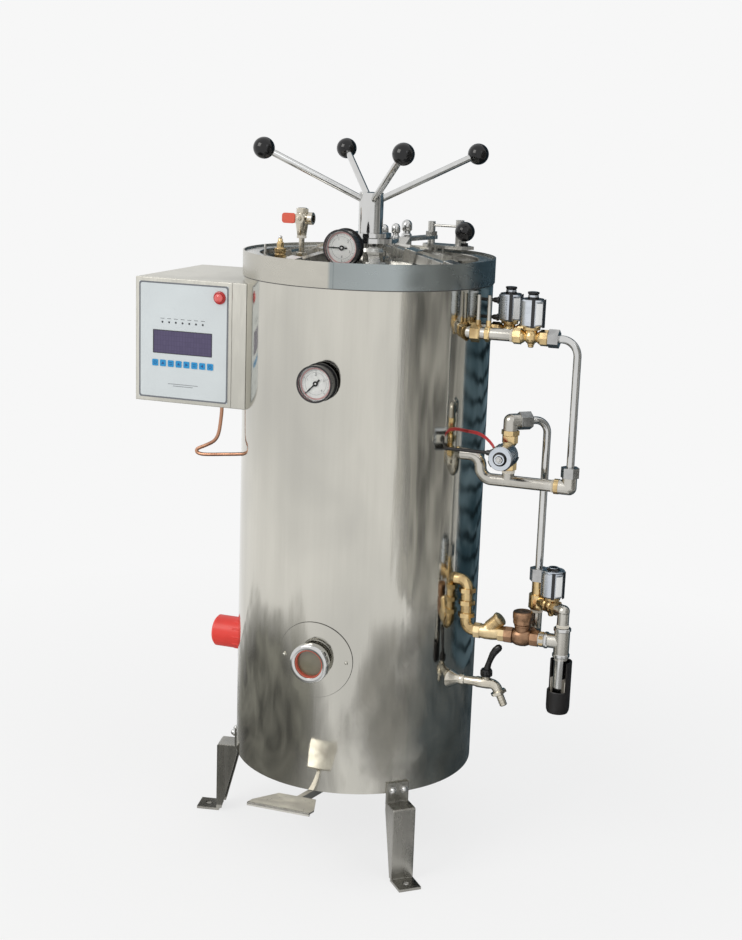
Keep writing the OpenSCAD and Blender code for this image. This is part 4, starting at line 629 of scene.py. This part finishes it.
# Each coil: its name, its foot and the azimuth its label faces
COILS = (
    ("steam", plumb(STEAM_X, STEAM_Z + COIL_FOOT), 19),
    ("rear", plumb(REAR_X, STEAM_Z + COIL_FOOT, REAR), 19),
    ("riser", plumb(RISER_X, RISER_Z, -COIL_FOOT) @ OUT, -128),
    ("link", moved(382.6, -53.3, 523), 19),
)
for name, place, face in COILS:
    end_on = name == "riser"
    top = place @ moved(0, 0, COIL_H)
    bm = bmesh.new()
    patch(bm, COIL_R, COIL_R + 0.4, face + 9, face + 44, 5, 41, place)
    make(f"coil_label_{name}", bm, "white")
    bm = bmesh.new()
    for a, half in ((face - 4, 8), (face + 68, 16), (face + 180, 30)):
        patch(bm, COIL_R - 0.4, COIL_R + 1, a - half, a + half, -0.6, COIL_H + 0.4, place)
    if not end_on:
        ring(bm, COIL_R - 2.4, 10, COIL_H - 0.2, COIL_H + 0.8, place, 48, 0.3)
    make(f"coil_yoke_{name}", bm, "case")
    bm = bmesh.new()
    if name in ("riser", "link"):
        ring(bm, COIL_R - 0.6, 12.5, COIL_H - 0.4, COIL_H + 2.2, place, 56, 0.8)
        make(f"coil_rim_{name}", bm, "coil")
        bm = bmesh.new()
        spin(bm, [(0, 7.8), (5, 7.6), (9.2, 6), (12.4, 2.4), (12.4, 0)], 40, top)
    else:
        spin(bm, [(0, 12.4), (8.2, 12.4), (9.2, 11.6), (9.4, 9), (7.8, 7), (7.6, 5.2), (9.6, 3), (10, 0)],
             40, top)
        for x, y in circle(10, 9.2):
            spin(bm, [(0, 3.4), (1, 3.2), (1, 0)], 8, top @ moved(x, y, 8.8))
    make(f"coil_cap_{name}", bm, "black")
    if end_on:
        bm = bmesh.new()
        slab(bm, polygon_outline(10.5), 7.4, 9.6, top)
        spin(bm, [(0, 12.2), (2.6, 11.8), (3.6, 10.4), (3.6, 9.2)], 24, top)
        make(f"coil_nut_{name}", bm, "polished")

# Glands where the leads enter the coils
bm = bmesh.new()
for x, back, z in ((REAR_X - COIL_R, REAR, 851), (REAR_X - COIL_R, REAR, 881), (RISER_X - COIL_R, -42, 629)):
    spin(bm, [(0, 10), (3.6, 10), (4.6, 8), (5, 3), (6.4, 2.2), (6.4, -0.6)], 20,
         plumb(x, z, back) @ turned(-90, "Y"))
make("coil_glands", bm, "case")

# Threads and sealing tape at the pipe joints
THREAD_PITCH, THREAD_ROOT, THREAD_TOP = 1.6, PIPE_R + 0.1, PIPE_R + 0.9
LINK_BACK = 45
bm = bmesh.new()
for place, length in ((plumb(DROP_X, WATER_Z + 27), 6), (plumb(DROP_X, WATER_Z - 33), 6),
                      (plumb(RISER_X, RISER_Z - 37), 6), (plumb(STEAM_X - 36, STEAM_Z) @ ALONG_X, 5),
                      (plumb(REAR_X - 36, STEAM_Z, REAR) @ ALONG_X, 5), (plumb(374, MIDDLE_Z) @ ALONG_X, 5),
                      (plumb(CHECK_X, WATER_Z + 35, LINK_BACK), 6)):
    turns = max(2, round(length / THREAD_PITCH))
    profile = []
    for i in range(turns):
        profile += [(THREAD_ROOT, length * i / turns), (THREAD_TOP, length * (i + 0.5) / turns)]
    spin(bm, profile + [(THREAD_ROOT, length)], 40, place)
make("pipe_threads", bm, "tape")

# The drain tap's lever with its scalloped foot
bm = bmesh.new()
tap = plumb(TAP_STEM_X, TAP_Z + 13.5)
spine = [(0, 0, 6), (1, 0, 14), (3.5, 0, 24), (6.5, 0, 33), (10, 0, 42),
         (15, 0, 50), (20.5, 0, 56), (23.5, 0, 58.5), (25, 0, 59.5)]
widths = [7.8, 6.2, 5.2, 5.4, 6.2, 7, 6.8, 5, 2]
tube(bm, spine, 6, 24, tap, widths)
spin_closed(bm, [(5.2, 0), (10, 0), (10.4, 2), (10.4, 10), (9.2, 13), (5.2, 14)], 40, tap)
spin(bm, [(0, 15), (4, 14.6), (5.4, 13), (5.4, 12)], 32, tap)
for x, y in circle(10, 10.2):
    spin(bm, [(0, 10.2), (1.1, 9.8), (1.1, 1.2), (0, 0.8)], 8, tap @ moved(x, y, 0))
make("tap_handle", bm, "black", "tap_lever", replaces=("tap_lever",))

# The drain tap's body with its trumpet foot, and its nozzle that leans outwards
ELBOW_X, ELBOW_R, LEAN = 285, 14, 25
bm = bmesh.new()
spin(bm, [(0, 0), (22.5, 0), (20.5, 6), (16.5, 12.5), (12.5, 18.5), (9.8, 23.5),
          (8.8, 27), (10.2, 27.5), (10.6, 30), (10.6, 34.5), (10, 36.2), (8.8, 36.8),
          (8.8, 56), (10, 60), (10.2, 70), (10.2, 80), (9.4, 86), (0, 86)], 44,
     plumb(200, TAP_Z) @ ALONG_X)
spin(bm, [(0, 0), (7.5, 0), (7.5, 13.5), (5, 13.8), (5, 17), (0, 17)], 32, plumb(TAP_STEM_X, TAP_Z))
bend = [(ELBOW_X + ELBOW_R * math.cos(t), TAP_Z - ELBOW_R + ELBOW_R * math.sin(t)) for t in
        (math.radians(90 - (90 - LEAN) * i / 8) for i in range(9))]
tube(bm, [(x, PLUMB_Y, JACKET_BOTTOM + z) for x, z in bend], 9.2, 28)
nozzle = plumb(*bend[-1]) @ turned(180 - LEAN, "Y")
spin(bm, [(0, -2), (9.2, -2), (9.2, 3), (11, 3.6), (11, 10.4), (9, 11.6),
          (6.4, 12.4), (7.2, 16), (6.4, 16.4), (7.2, 21), (6.4, 21.4), (7.2, 26),
          (6.4, 26.4), (7, 31), (5.6, 32.6), (0, 32.6)], 36, nozzle)
slab(bm, polygon_outline(26.2, 6), 4.2, 9.4, nozzle)
make("tap_body", bm, "tap", replaces=("drain_tap",))

# The sight glass: chromed ring with a red gasket and the khaki glass behind it
SIGHT_Z = 248
SIGHT = at(0, 234, SIGHT_Z) @ OUT
bm = bmesh.new()
spin_closed(bm, [(30, 8.5), (35.5, 8.5), (36, 9), (36, 15), (35.2, 17.6),
                 (33.6, 19.2), (31.8, 19.8), (27.8, 19.8), (26.2, 19), (25.4, 17.2),
                 (25.4, 8.5)], 96, SIGHT)
spin_closed(bm, [(30, 0.4), (33.5, 0.4), (34, 0.9), (34, 6.6), (33, 7.2), (30, 7.2)], 96, SIGHT)
make("sight_rings", bm, "polished", replaces=("sight_ring",))
bm = bmesh.new()
ring(bm, 33.4, 30, 7.2, 8.5, SIGHT, 72)
# Black blocks flush with the ring stand for its notches: painted shade of the cuts
for i in range(6):
    notch = SIGHT @ turned(38 + 60 * i, "Z") @ moved(35.2, 0, 11.6)
    slab(bm, rounded(1.8, 6.2, 0.6, 3), -2.4, 2.4, notch)
make("sight_notches", bm, "case")
bm = bmesh.new()
ring(bm, 25.6, 23.6, 9.6, 16.8, SIGHT, 72, 0.3)
make("sight_seal", bm, "red_rubber", replaces=("sight_gasket",))
# The khaki disc behind the glass, its mottling painted shade
bm = bmesh.new()
spin(bm, [(0, 10), (16, 9.9), (25.2, 9.6), (25.2, 8.4)], 72, SIGHT)
make("sight_disc", bm, "khaki", replaces=("sight_glass",))

# The copper tube, bent as in the photo
COPPER_Y, COPPER_R = -72, 3.4
path = [(-254, 672), (-254.5, 652), (-255.2, 640), (-257.5, 620), (-259.5, 608), (-262.5, 598),
        (-267.5, 590), (-274, 584.5), (-282, 580), (-291, 575.5), (-299, 571.8),
        (-303.4, 569), (-305.2, 565.5), (-303.4, 562.2), (-298, 560.4), (-290, 560),
        (-275, 561.2), (-250, 564), (-230, 566.2), (-208, 569)]
bm = bmesh.new()
tube(bm, [(x, COPPER_Y, JACKET_BOTTOM + z) for x, z in smoothed(path)], COPPER_R, 18)
make("copper_line", bm, "copper", replaces=("copper_tube",))


# Solenoid valve bodies

def valve(bm, place, half=31, lobe=14):
    """A body of two lobes along Z with a neck towards -Y and a small boss on the other side."""
    for side in (0, 180):
        end = place @ turned(side, "X")
        slab(bm, polygon_outline(26.2, 8), half - lobe, half - 1.2, end)
        slab(bm, polygon_outline(24, 8), half - 1.2, half, end)
        spin(bm, [(12.6, half - lobe), (11.2, half - lobe - 3.2), (9.2, half - lobe - 5.6),
                  (8, half - lobe - 7), (0, half - lobe - 7)], 32, end)
    ball = 12.8
    spin(bm, [(0, -ball)] + [(ball * math.cos(t), ball * math.sin(t)) for t in
                             (math.radians(-80 + 16 * i) for i in range(11))] + [(0, ball)], 36, place)
    neck = place @ OUT
    spin(bm, [(0, 0), (10.4, 0), (10.4, 10.8), (11.8, 12), (15, 12.8), (15, 17.6),
              (6, 17.8), (6, 57.8), (0, 57.8)], 40, neck)
    spin(bm, [(0, 0), (6.2, 0), (6.2, -12.8), (5, -14), (5, -16.6), (4, -18), (0, -18.4)], 28, neck)


upright = turned(90, "Z") @ turned(-90, "X")
LINK_RUN = CHECK_X - DROP_X
LINK_TURN = math.degrees(math.atan2(LINK_BACK, LINK_RUN))
LINK_SHARE = 0.46
bm = bmesh.new()
valve(bm, plumb(STEAM_X, STEAM_Z) @ upright)
valve(bm, plumb(REAR_X, STEAM_Z, REAR) @ upright)
valve(bm, plumb(RISER_X, RISER_Z))
along_link = turned(LINK_TURN, "Z") @ moved(LINK_SHARE * math.hypot(LINK_BACK, LINK_RUN), 0, 0)
valve(bm, plumb(DROP_X, LINK_Z) @ along_link @ upright, 16.5, 7)
make("valve_bodies", bm, "brass", replaces=("solenoid_bodies",))

# Brass nuts against the jacket's stubs and at the stems
bm = bmesh.new()
for x, z, af, length in ((217.5, STEAM_Z, 29, 15), (243, STEAM_Z, 26.2, 6), (370, WATER_Z, 25, 7.5)):
    place = plumb(x, z) @ ALONG_X
    slab(bm, polygon_outline(af), 0, length, place)
    ring(bm, af / 2 - 0.8, 10.7, -1.2, length + 1.2, place, 40, 0.5)
make("brass_nuts", bm, "brass")

# The strainer with its ribbed basket cap
STRAINER_X, STRAINER_L = 250, 56
bm = bmesh.new()
run = plumb(STRAINER_X, WATER_Z) @ ALONG_X
for z in (0, 44.8):
    slab(bm, polygon_outline(26.8, 8), z, z + 11.2, run)
spin(bm, [(0, 0), (12.2, 0), (12.6, 12), (13.8, 20), (13.8, 32), (12.4, 44), (12.4, STRAINER_L),
          (0, STRAINER_L)], 44, run)
branch = plumb(STRAINER_X + STRAINER_L / 3, WATER_Z) @ turned(45, "Y")
profile = [(0, 0), (11.2, 0), (11.2, 12)]
for i in range(6):
    z = 12.5 + 3.6 * i
    profile += [(11, z), (12.4, z + 1), (12.4, z + 2.4), (11, z + 3.4)]
profile += [(11.2, 34.5), (13.4, 35), (13.6, 36.2), (13.6, 39.2), (12, 40.8), (7, 41.4), (0, 41.6)]
spin(bm, profile, 44, branch)
make("strainer_body", bm, "cast_brass", replaces=("strainer",))

# The bronze check valve with its flared cap
bm = bmesh.new()
run = plumb(STRAINER_X + STRAINER_L, WATER_Z) @ ALONG_X
for z in (0, 47.5):
    slab(bm, polygon_outline(27.8, 8), z, z + 14.5, run)
spin(bm, [(0, 0), (12.2, 0), (12.2, 14.5), (14, 17), (16.6, 23), (17.4, 31),
          (16.6, 39), (14, 45), (12.2, 47.5), (12.2, 62), (0, 62)], 44, run)
cap = plumb(337, WATER_Z)
spin(bm, [(0, 0), (13.6, 0), (13.6, 19.6), (14.8, 20.6), (14.8, 22.6), (13.2, 23.4), (13.2, 25), (15, 26.2)],
     44, cap)
slab(bm, polygon_outline(33, 10), 25.5, 33, cap)
spin(bm, [(0, 32), (16.8, 32), (17.8, 35), (18, 44), (17.2, 46.2), (15, 47.4), (12.8, 46.6), (0, 46)],
     52, cap)
side = plumb(CHECK_X, WATER_Z) @ turned(-90, "X")
spin(bm, [(0, 0), (12.5, 0), (12.5, 15), (13.8, 16), (13.8, 21.6), (0, 22)], 40, side)
make("check_body", bm, "bronze", replaces=("check_valve",))

# Beads of the cast tee, the nipple in the boot and the boot itself
bm = bmesh.new()
tee = plumb(DROP_X, WATER_Z)
for z in (-27, 20.6):
    ring(bm, 15.6, 10.7, z, z + 6.4, tee, 48, 1.2)
ring(bm, 15, 10.7, 378.5, 385, plumb(0, WATER_Z) @ ALONG_X, 48, 1.2)
spin(bm, [(0, 166), (9.8, 166), (11.3, 172), (11.3, 265), (0, 265)], 40, plumb(DROP_X, 0))
make("tee_beads", bm, "polished")

bm = bmesh.new()
boot = plumb(DROP_X, 163)
spin_closed(bm, [(11.8, 3), (15, 0.6), (18.4, 0), (20.4, 5), (21, 12), (21, 40),
                 (20, 41.5), (18, 40), (17.6, 10), (11.8, 9)], 56, boot)
SLIT_FROM, SLIT_TO = 48, 250
patch(bm, 17.8, 21, SLIT_FROM, SLIT_TO, 30, 94.5, boot, 26)
patch(bm, 18, 20.8, SLIT_FROM + 2, SLIT_TO - 2, 94, 95.8, boot, 26)
make("boot_shell", bm, "black_rubber", replaces=("outlet_boot",))
bm = bmesh.new()
patch(bm, 17, 17.9, SLIT_FROM - 2, SLIT_TO, 20, 60, boot, 26)
make("boot_liner", bm, "tape")

# Safety valve, relief valves and studs on the lid
bm = bmesh.new()
safety = at(-58.7, 163, 917.9)
slab(bm, polygon_outline(20.6), 0, 11, safety)
spin(bm, [(0, 0), (8.6, 0), (8.6, 12.8), (10.4, 13.4), (10.4, 25), (9.8, 25.8),
          (9.2, 26.2), (9.2, 27.6), (10.2, 28.2), (10.2, 35.2), (9.4, 36.2), (6.8, 36.6),
          (6.4, 37.2), (6.4, 45.2), (5.8, 46), (4.6, 46.4), (4.2, 51), (3.4, 52.4), (0, 52.4)], 44, safety)
for i in range(24):
    slab(bm, rounded(0.8, 1.2, 0.3, 1), 28.6, 34.8, safety @ turned(15 * i, "Z") @ moved(10, 0, 0))
make("safety_body", bm, "brass", "lid", replaces=("safety_valve",))
bm = bmesh.new()
spin(bm, [(0, 58.1), (1.8, 57.6), (3.1, 56.2), (3.5, 54.6), (3.1, 53), (2.2, 51.8)], 28, safety)
make("safety_tip", bm, "polished", "lid")

bm = bmesh.new()
for az, r, base, tall, d in ((174.6, 165, 917.1, 82.9, 20), (178.4, 134, 928.6, 65.4, 17),
                             (187, 121, 932.6, 59.4, 17)):
    body_r = d / 2
    place = at(az, r, base)
    slab(bm, polygon_outline(d * 0.98), 0, tall * 0.16, place)
    head = tall - 1.95 * body_r
    body = [(0.8, 0), (0.8, tall * 0.3), (0.98, tall * 0.33), (0.98, head - 8.5), (0.86, head - 6.8),
            (0.72, head - 5.5), (0.72, head - 1.8), (0.96, head), (1, head + 0.8)]
    body += [(math.cos(t), tall - body_r * (1 - math.sin(t))) for t in (math.radians(15 * i) for i in range(6))]
    spin(bm, [(0, 0)] + [(share * body_r, z) for share, z in body] + [(0, tall)], 44, place)
make("relief_domes", bm, "polished", "lid", replaces=("relief_valves",))

STUD_PITCH = 1.2
bm = bmesh.new()
for az, height in ((-64.8, 54.7), (157.2, 45.7), (152.2, 45.7)):
    place = at(az, 188, 904.3)
    slab(bm, polygon_outline(9.8), 0, 4.8, place)
    spin(bm, [(0, 0), (2.1, 0), (2.1, height - 1), (1.3, height), (0, height)], 20, place)
    for i in range(int((height - 8) / STUD_PITCH)):
        ring(bm, 2.5, 1.8, 6.2 + STUD_PITCH * i, 6.8 + STUD_PITCH * i, place, 16)
make("lid_studs", bm, "stainless", "lid")

# The cock on the lid with its red sleeve
COCK = moved(-124.4, -20.2, JACKET_BOTTOM + 931.1)
bm = bmesh.new()
slab(bm, polygon_outline(19), 0, 11, COCK)
spin(bm, [(0, 0), (5.2, 0), (5.2, 38), (8.4, 42.5), (9.8, 52), (11.2, 62),
          (11.8, 70), (11.8, 77), (10.4, 82), (9.2, 83.5), (0, 83.5)], 44, COCK)
slab(bm, polygon_outline(20.6, 6), 82.6, 90, COCK)
spin(bm, [(0, 91.5), (7.6, 91.5), (9.6, 89.8), (0, 89)], 36, COCK)
COCK_AXIS = moved(0, 0, 72.9)
port = COCK @ COCK_AXIS @ ALONG_X
spin_closed(bm, [(6.6, 4), (8.6, 4), (9, 11), (11.2, 13), (11.2, 21.2),
                 (10.4, 21.9), (6.6, 21.9)], 44, port)
gland = COCK @ COCK_AXIS @ OUT
spin(bm, [(0, 0), (6, 0), (6, 14.2), (0, 14.2)], 32, gland)
make("cock_body", bm, "tap", "lid", replaces=("ball_valve",))
bm = bmesh.new()
ring(bm, 8.8, 5, 37.2, 42, COCK, 40, 0.6)
make("cock_ring", bm, "tape", "lid")
# A black disc inside the port's mouth: painted shade of the open bore
bm = bmesh.new()
spin(bm, [(0, 12), (7, 12), (0, 11.9)], 32, port)
make("cock_bore_shade", bm, "case", "lid")
bm = bmesh.new()
slab(bm, rounded(32, 17.2, 8, 7, -6, 0), 14.8, 17.2, gland)
slab(bm, polygon_outline(8.8), 17.2, 21.2, gland)
spin(bm, [(0, 23.2), (2.4, 23), (2.8, 22.2), (2.8, 20.5)], 20, gland)
make("cock_tab", bm, "tap", "valve_lever")
bm = bmesh.new()
for grow, z0, z1 in ((0, 14, 18.2), (-1.2, 13.2, 19)):
    slab(bm, rounded(25.6 + grow, 18.2 + grow, 5, 6, -19.2, 0), z0, z1, gland)
make("cock_sleeve", bm, "sleeve", "valve_lever", replaces=("valve_lever",))

# The pedal with its thin folded edge
TILT = math.radians(11)
PIVOT_Y, PIVOT_Z = -60, -40
COLUMN_R, COLUMN_AZ = 211, math.radians(165.6)
PIVOT = moved(0, PIVOT_Y, JACKET_BOTTOM + PIVOT_Z)
reach = 230 / math.cos(TILT)
column_x, column_y = COLUMN_R * math.sin(COLUMN_AZ), -COLUMN_R * math.cos(COLUMN_AZ)
nose_z = PIVOT_Z - (column_y - PIVOT_Y) * math.tan(TILT)

bm = bmesh.new()
lever = PIVOT @ Matrix.Rotation(-TILT, 4, "X")
spin(bm, [(0, -44), (7.4, -44), (8, -43.4), (8, column_x + 30.4), (7.4, column_x + 31), (0, column_x + 31)],
     32, PIVOT @ ALONG_X)
block(bm, -5, 5, -reach - 46, 0, -7, 7, lever)
block(bm, column_x - 5, column_x + 5, 0, (column_y - PIVOT_Y) / math.cos(TILT), -4.4, 4.4, lever)
slab(bm, [(-35, -reach), (35, -reach), (57.5, -reach - 69), (57.5, -reach - 92),
          (-57.5, -reach - 92), (-57.5, -reach - 69)], 7, 10, lever)
block(bm, -57.5, 57.5, -reach - 92, -reach - 89, 4, 10, lever)
for x in (0, column_x):
    spin(bm, [(0, x - 10), (12, x - 10), (12, x + 10), (0, x + 10)], 32, PIVOT @ ALONG_X)
spin(bm, [(0, -8), (7, -8), (7, 8), (0, 8)], 32,
     moved(column_x, column_y, JACKET_BOTTOM + nose_z) @ ALONG_X)
make("pedal_lever", bm, "pedal", "pedal", replaces=("pedal",))

# A pair of thin red leads beside the riser valve
bm = bmesh.new()
for drop in (0, 3):
    tube(bm, [(276, -104, 792 - drop), (272, -101, 796.5 - drop), (266, -97, 801 - drop),
              (256, -89, 806 - drop), (246, -81, 808.5 - drop), (236, -74, 809.5 - drop),
              (226, -67, 809.2 - drop), (213, -58, 808 - drop)], 1.5, 12)
make("riser_red_leads", bm, "lead")

# A dark line round the sight glass plate on the curved jacket: painted shadow in the gap at the plate's edge
PLATE_R, PLATE_SKIN = 69.2, 225.7
bm = bmesh.new()
edge = circle(120, PLATE_R)
edge = [(x, -math.sqrt(PLATE_SKIN ** 2 - x * x), JACKET_BOTTOM + SIGHT_Z + z) for x, z in edge + edge[:1]]
tube(bm, edge, 0.55, 6)
make("sight_plate_edge_shadow", bm, "dark_steel")

# The dark ring under the band: painted shadow in the gap between band and jacket
BAND_Z = JACKET_BOTTOM + JACKET_H
bm = bmesh.new()
ring(bm, 226.3, 225.1, BAND_Z - 1.5, BAND_Z, count=180)
make("band_gap_shadow", bm, "dark_steel")


# Camera, light and stage

def seen_directly(tree):
    """1 for camera, glossy and transmission rays, so that metal and glass show the backdrop too."""
    path = add(tree, "ShaderNodeLightPath")
    first = add(tree, "ShaderNodeMath", operation="MAXIMUM")
    second = add(tree, "ShaderNodeMath", operation="MAXIMUM")
    tree.links.new(path.outputs["Is Camera Ray"], first.inputs[0])
    tree.links.new(path.outputs["Is Glossy Ray"], first.inputs[1])
    tree.links.new(first.outputs[0], second.inputs[0])
    tree.links.new(path.outputs["Is Transmission Ray"], second.inputs[1])
    return second.outputs[0]


FLOOR_HALF = 14.0
BACKDROP = (0.93, 0.93, 0.93, 1.0)
SKY = (0.98, 0.99, 1.0, 1.0)
SKY_STRENGTH = 0.62


def pale_floor():
    """Pale floor that keeps the object's shadow and runs into the backdrop's colour farther off."""
    mat, tree, bsdf = new_material("floor_pale")
    bsdf.inputs["Base Color"].default_value = (0.96, 0.96, 0.955, 1.0)
    bsdf.inputs["Roughness"].default_value = 0.9
    bsdf.inputs["Specular IOR Level"].default_value = 0.0
    glow = add(tree, "ShaderNodeEmission", Color=BACKDROP, Strength=1.0)
    blend = add(tree, "ShaderNodeMixShader")
    share = add(tree, "ShaderNodeMath", operation="MULTIPLY")
    away = add(tree, "ShaderNodeTexGradient", gradient_type="SPHERICAL")
    tree.links.new(object_coords(tree, (0.5, 0.5, 0.5)), away.inputs["Vector"])
    tree.links.new(seen_directly(tree), share.inputs[0])
    tree.links.new(span(tree, away.outputs["Fac"], 1.0, 0.8, 0.1, 0.7), share.inputs[1])
    tree.links.new(share.outputs[0], blend.inputs["Fac"])
    tree.links.new(bsdf.outputs[0], blend.inputs[1])
    tree.links.new(glow.outputs[0], blend.inputs[2])
    tree.links.new(blend.outputs[0], tree.nodes["Material Output"].inputs["Surface"])
    bm = bmesh.new()
    block(bm, -FLOOR_HALF, FLOOR_HALF, -FLOOR_HALF, FLOOR_HALF, -0.02, -0.0005)
    floor = mesh_object("floor", bm, mat)


pale_floor()

camera_data = bpy.data.cameras.new("camera")
camera_data.sensor_fit = "HORIZONTAL"
camera_data.sensor_width = 36.0
camera_data.lens = 74.8
camera_data.clip_end = 60.0
camera = link_object("camera", camera_data)
# The camera's place, and its turns in radians, as solved from the photo
EYE = Vector((0.9195, -2.6404, 1.3348))
YAW, PITCH, ROLL = 0.00576, 0.22267, 0.03524
UPWARDS = Vector((0.0, 0.0, 1.0))
level = Vector((-EYE.x, -EYE.y, 0.0)).normalized()
level = (math.cos(YAW) * level + math.sin(YAW) * level.cross(UPWARDS)).normalized()
right = level.cross(UPWARDS)
look = (math.cos(PITCH) * level - math.sin(PITCH) * UPWARDS).normalized()
right = math.cos(ROLL) * right + math.sin(ROLL) * right.cross(look)
up = right.cross(look)
camera.matrix_world = Matrix((
    (right.x, up.x, -look.x, EYE.x),
    (right.y, up.y, -look.y, EYE.y),
    (right.z, up.z, -look.z, EYE.z),
    (0.0, 0.0, 0.0, 1.0)))
bpy.context.scene.camera = camera


def area_light(name, place, target, size, power, colour=(1.0, 1.0, 1.0)):
    data = bpy.data.lights.new(name, "AREA")
    data.shape = "RECTANGLE"
    data.size, data.size_y = size
    data.energy = power
    data.color = colour
    lamp_obj = link_object(name, data)
    lamp_obj.location = place
    lamp_obj.rotation_euler = (Vector(target) - Vector(place)).to_track_quat("-Z", "Y").to_euler()


area_light("key", (-2.2, -3.2, 3.4), (0.0, 0.0, 0.7), (2.4, 2.4), 70.0, (1.0, 0.98, 0.94))
area_light("fill", (3.0, -1.6, 2.0), (0.0, 0.0, 0.6), (1.6, 2.4), 18.0, (0.92, 0.96, 1.0))


def card(name, place, size, turn, tilt, colours, grain, soft, waves):
    """A soft-edged card that only shiny surfaces reflect; colours are its dark and its pale part."""
    mat, tree, bsdf = new_material(name)
    clouds = noise(tree, grain, 4.0, 0.55, 1.2)
    colour = ramp(tree, clouds, [(0.36, colours[0]), (0.64, colours[1])])
    if waves:
        ripple = add(tree, "ShaderNodeTexWave", wave_type="BANDS", bands_direction="Y")
        tree.links.new(object_coords(tree, (0.3, 1.0, 1.0)), ripple.inputs["Vector"])
        ripple.inputs["Scale"].default_value = waves
        ripple.inputs["Distortion"].default_value = 4.0
        ripple.inputs["Detail"].default_value = 2.0
        ripple.inputs["Detail Scale"].default_value = 1.3
        dark = span(tree, ripple.outputs["Fac"], 1.0, 0.0, 0.06, 0.4)
        colour = mix_colours(tree, dark, colour, shade(colours[0], 0.22))
    tree.links.new(colour, bsdf.inputs["Base Color"])
    bsdf.inputs["Roughness"].default_value = 1.0
    bsdf.inputs["Specular IOR Level"].default_value = 0.0
    fall = add(tree, "ShaderNodeTexGradient", gradient_type="SPHERICAL")
    tree.links.new(object_coords(tree, (1.8 / size[0], 1.8 / size[1], 0.0)), fall.inputs["Vector"])
    rough = add(tree, "ShaderNodeMath", operation="MULTIPLY_ADD")
    tree.links.new(clouds, rough.inputs[0])
    rough.inputs[1].default_value = 0.75
    tree.links.new(fall.outputs["Fac"], rough.inputs[2])
    clear = add(tree, "ShaderNodeBsdfTransparent")
    blend = add(tree, "ShaderNodeMixShader")
    tree.links.new(span(tree, rough.outputs[0], 0.0, 1.0, 0.34, 0.34 + soft), blend.inputs["Fac"])
    tree.links.new(clear.outputs[0], blend.inputs[1])
    tree.links.new(bsdf.outputs[0], blend.inputs[2])
    tree.links.new(blend.outputs[0], tree.nodes["Material Output"].inputs["Surface"])
    bm = bmesh.new()
    block(bm, -size[0] / 2, size[0] / 2, -size[1] / 2, size[1] / 2, -0.001, 0.001)
    obj = mesh_object(name, bm, mat)
    obj.matrix_world = Matrix.Translation(place) @ turned(turn, "Z") @ turned(tilt, "X")
    obj.visible_camera = False
    obj.visible_diffuse = False
    obj.visible_shadow = False


# The surroundings that the shiny pieces show: dark and pale colour of each card
DUSK = ((0.042, 0.082, 0.11), (0.18, 0.262, 0.322))
CLOUDS = ((0.15, 0.15, 0.145), (0.6, 0.59, 0.56))
GROUND_BACK = ((0.05, 0.07, 0.08), (0.14, 0.17, 0.19))
GROUND_LEFT = ((0.1, 0.1, 0.095), (0.34, 0.34, 0.31))
GROUND_RIGHT = ((0.08, 0.08, 0.077), (0.33, 0.325, 0.305))
GROUND_FRONT = ((0.3, 0.3, 0.29), (0.5, 0.49, 0.47))
for name, az, reach, z, size, tilt, colours, grain, soft, waves in (
        ("clouds", 83.0, 1.7, 1.0, (2.5, 2.9), 90.0, CLOUDS, (2.2, 3.2, 1.6), 0.5, 0.0),
        ("dusk", 145.0, 1.05, 0.8, (1.3, 3.6), 90.0, DUSK, (0.7, 3.4, 2.0), 0.22, 5.6),
        ("dusk_back", 174.0, 1.35, 0.8, (2.0, 3.6), 90.0, DUSK, (0.7, 3.4, 2.0), 0.3, 4.8),
        ("ground_back", 146.0, 0.95, 0.012, (2.6, 2.0), 0.0, GROUND_BACK, (1.8, 1.8, 1.8), 0.4, 0.0),
        # ground_left is a dark card for a painted shadow on the ground at the left, seen only in reflections
        ("ground_left", -64.0, 0.86, 0.012, (1.9, 1.5), 0.0, GROUND_LEFT, (2.4, 2.4, 1.8), 0.55, 0.0),
        ("ground_right", 96.0, 1.0, 0.012, (1.9, 1.6), 0.0, GROUND_RIGHT, (2.2, 2.2, 1.8), 0.5, 0.0),
        ("ground_front", 48.0, 1.1, 0.012, (1.1, 1.0), 0.0, GROUND_FRONT, (2.4, 2.4, 1.8), 0.6, 0.0)):
    place = (reach * math.sin(math.radians(az)), -reach * math.cos(math.radians(az)), z)
    card("flag_" + name, place, size, az, tilt, colours, grain, soft, waves)

world = bpy.data.worlds.new("studio")
bpy.context.scene.world = world
world.use_nodes = True
wt = world.node_tree
wt.nodes.clear()
out = add(wt, "ShaderNodeOutputWorld")
light = add(wt, "ShaderNodeBackground", Color=SKY, Strength=SKY_STRENGTH)
backdrop = add(wt, "ShaderNodeBackground", Color=BACKDROP, Strength=1.0)
mix = add(wt, "ShaderNodeMixShader")
wt.links.new(seen_directly(wt), mix.inputs["Fac"])
wt.links.new(light.outputs[0], mix.inputs[1])
wt.links.new(backdrop.outputs[0], mix.inputs[2])
wt.links.new(mix.outputs[0], out.inputs["Surface"])

bpy.context.scene.view_settings.view_transform = "Standard"
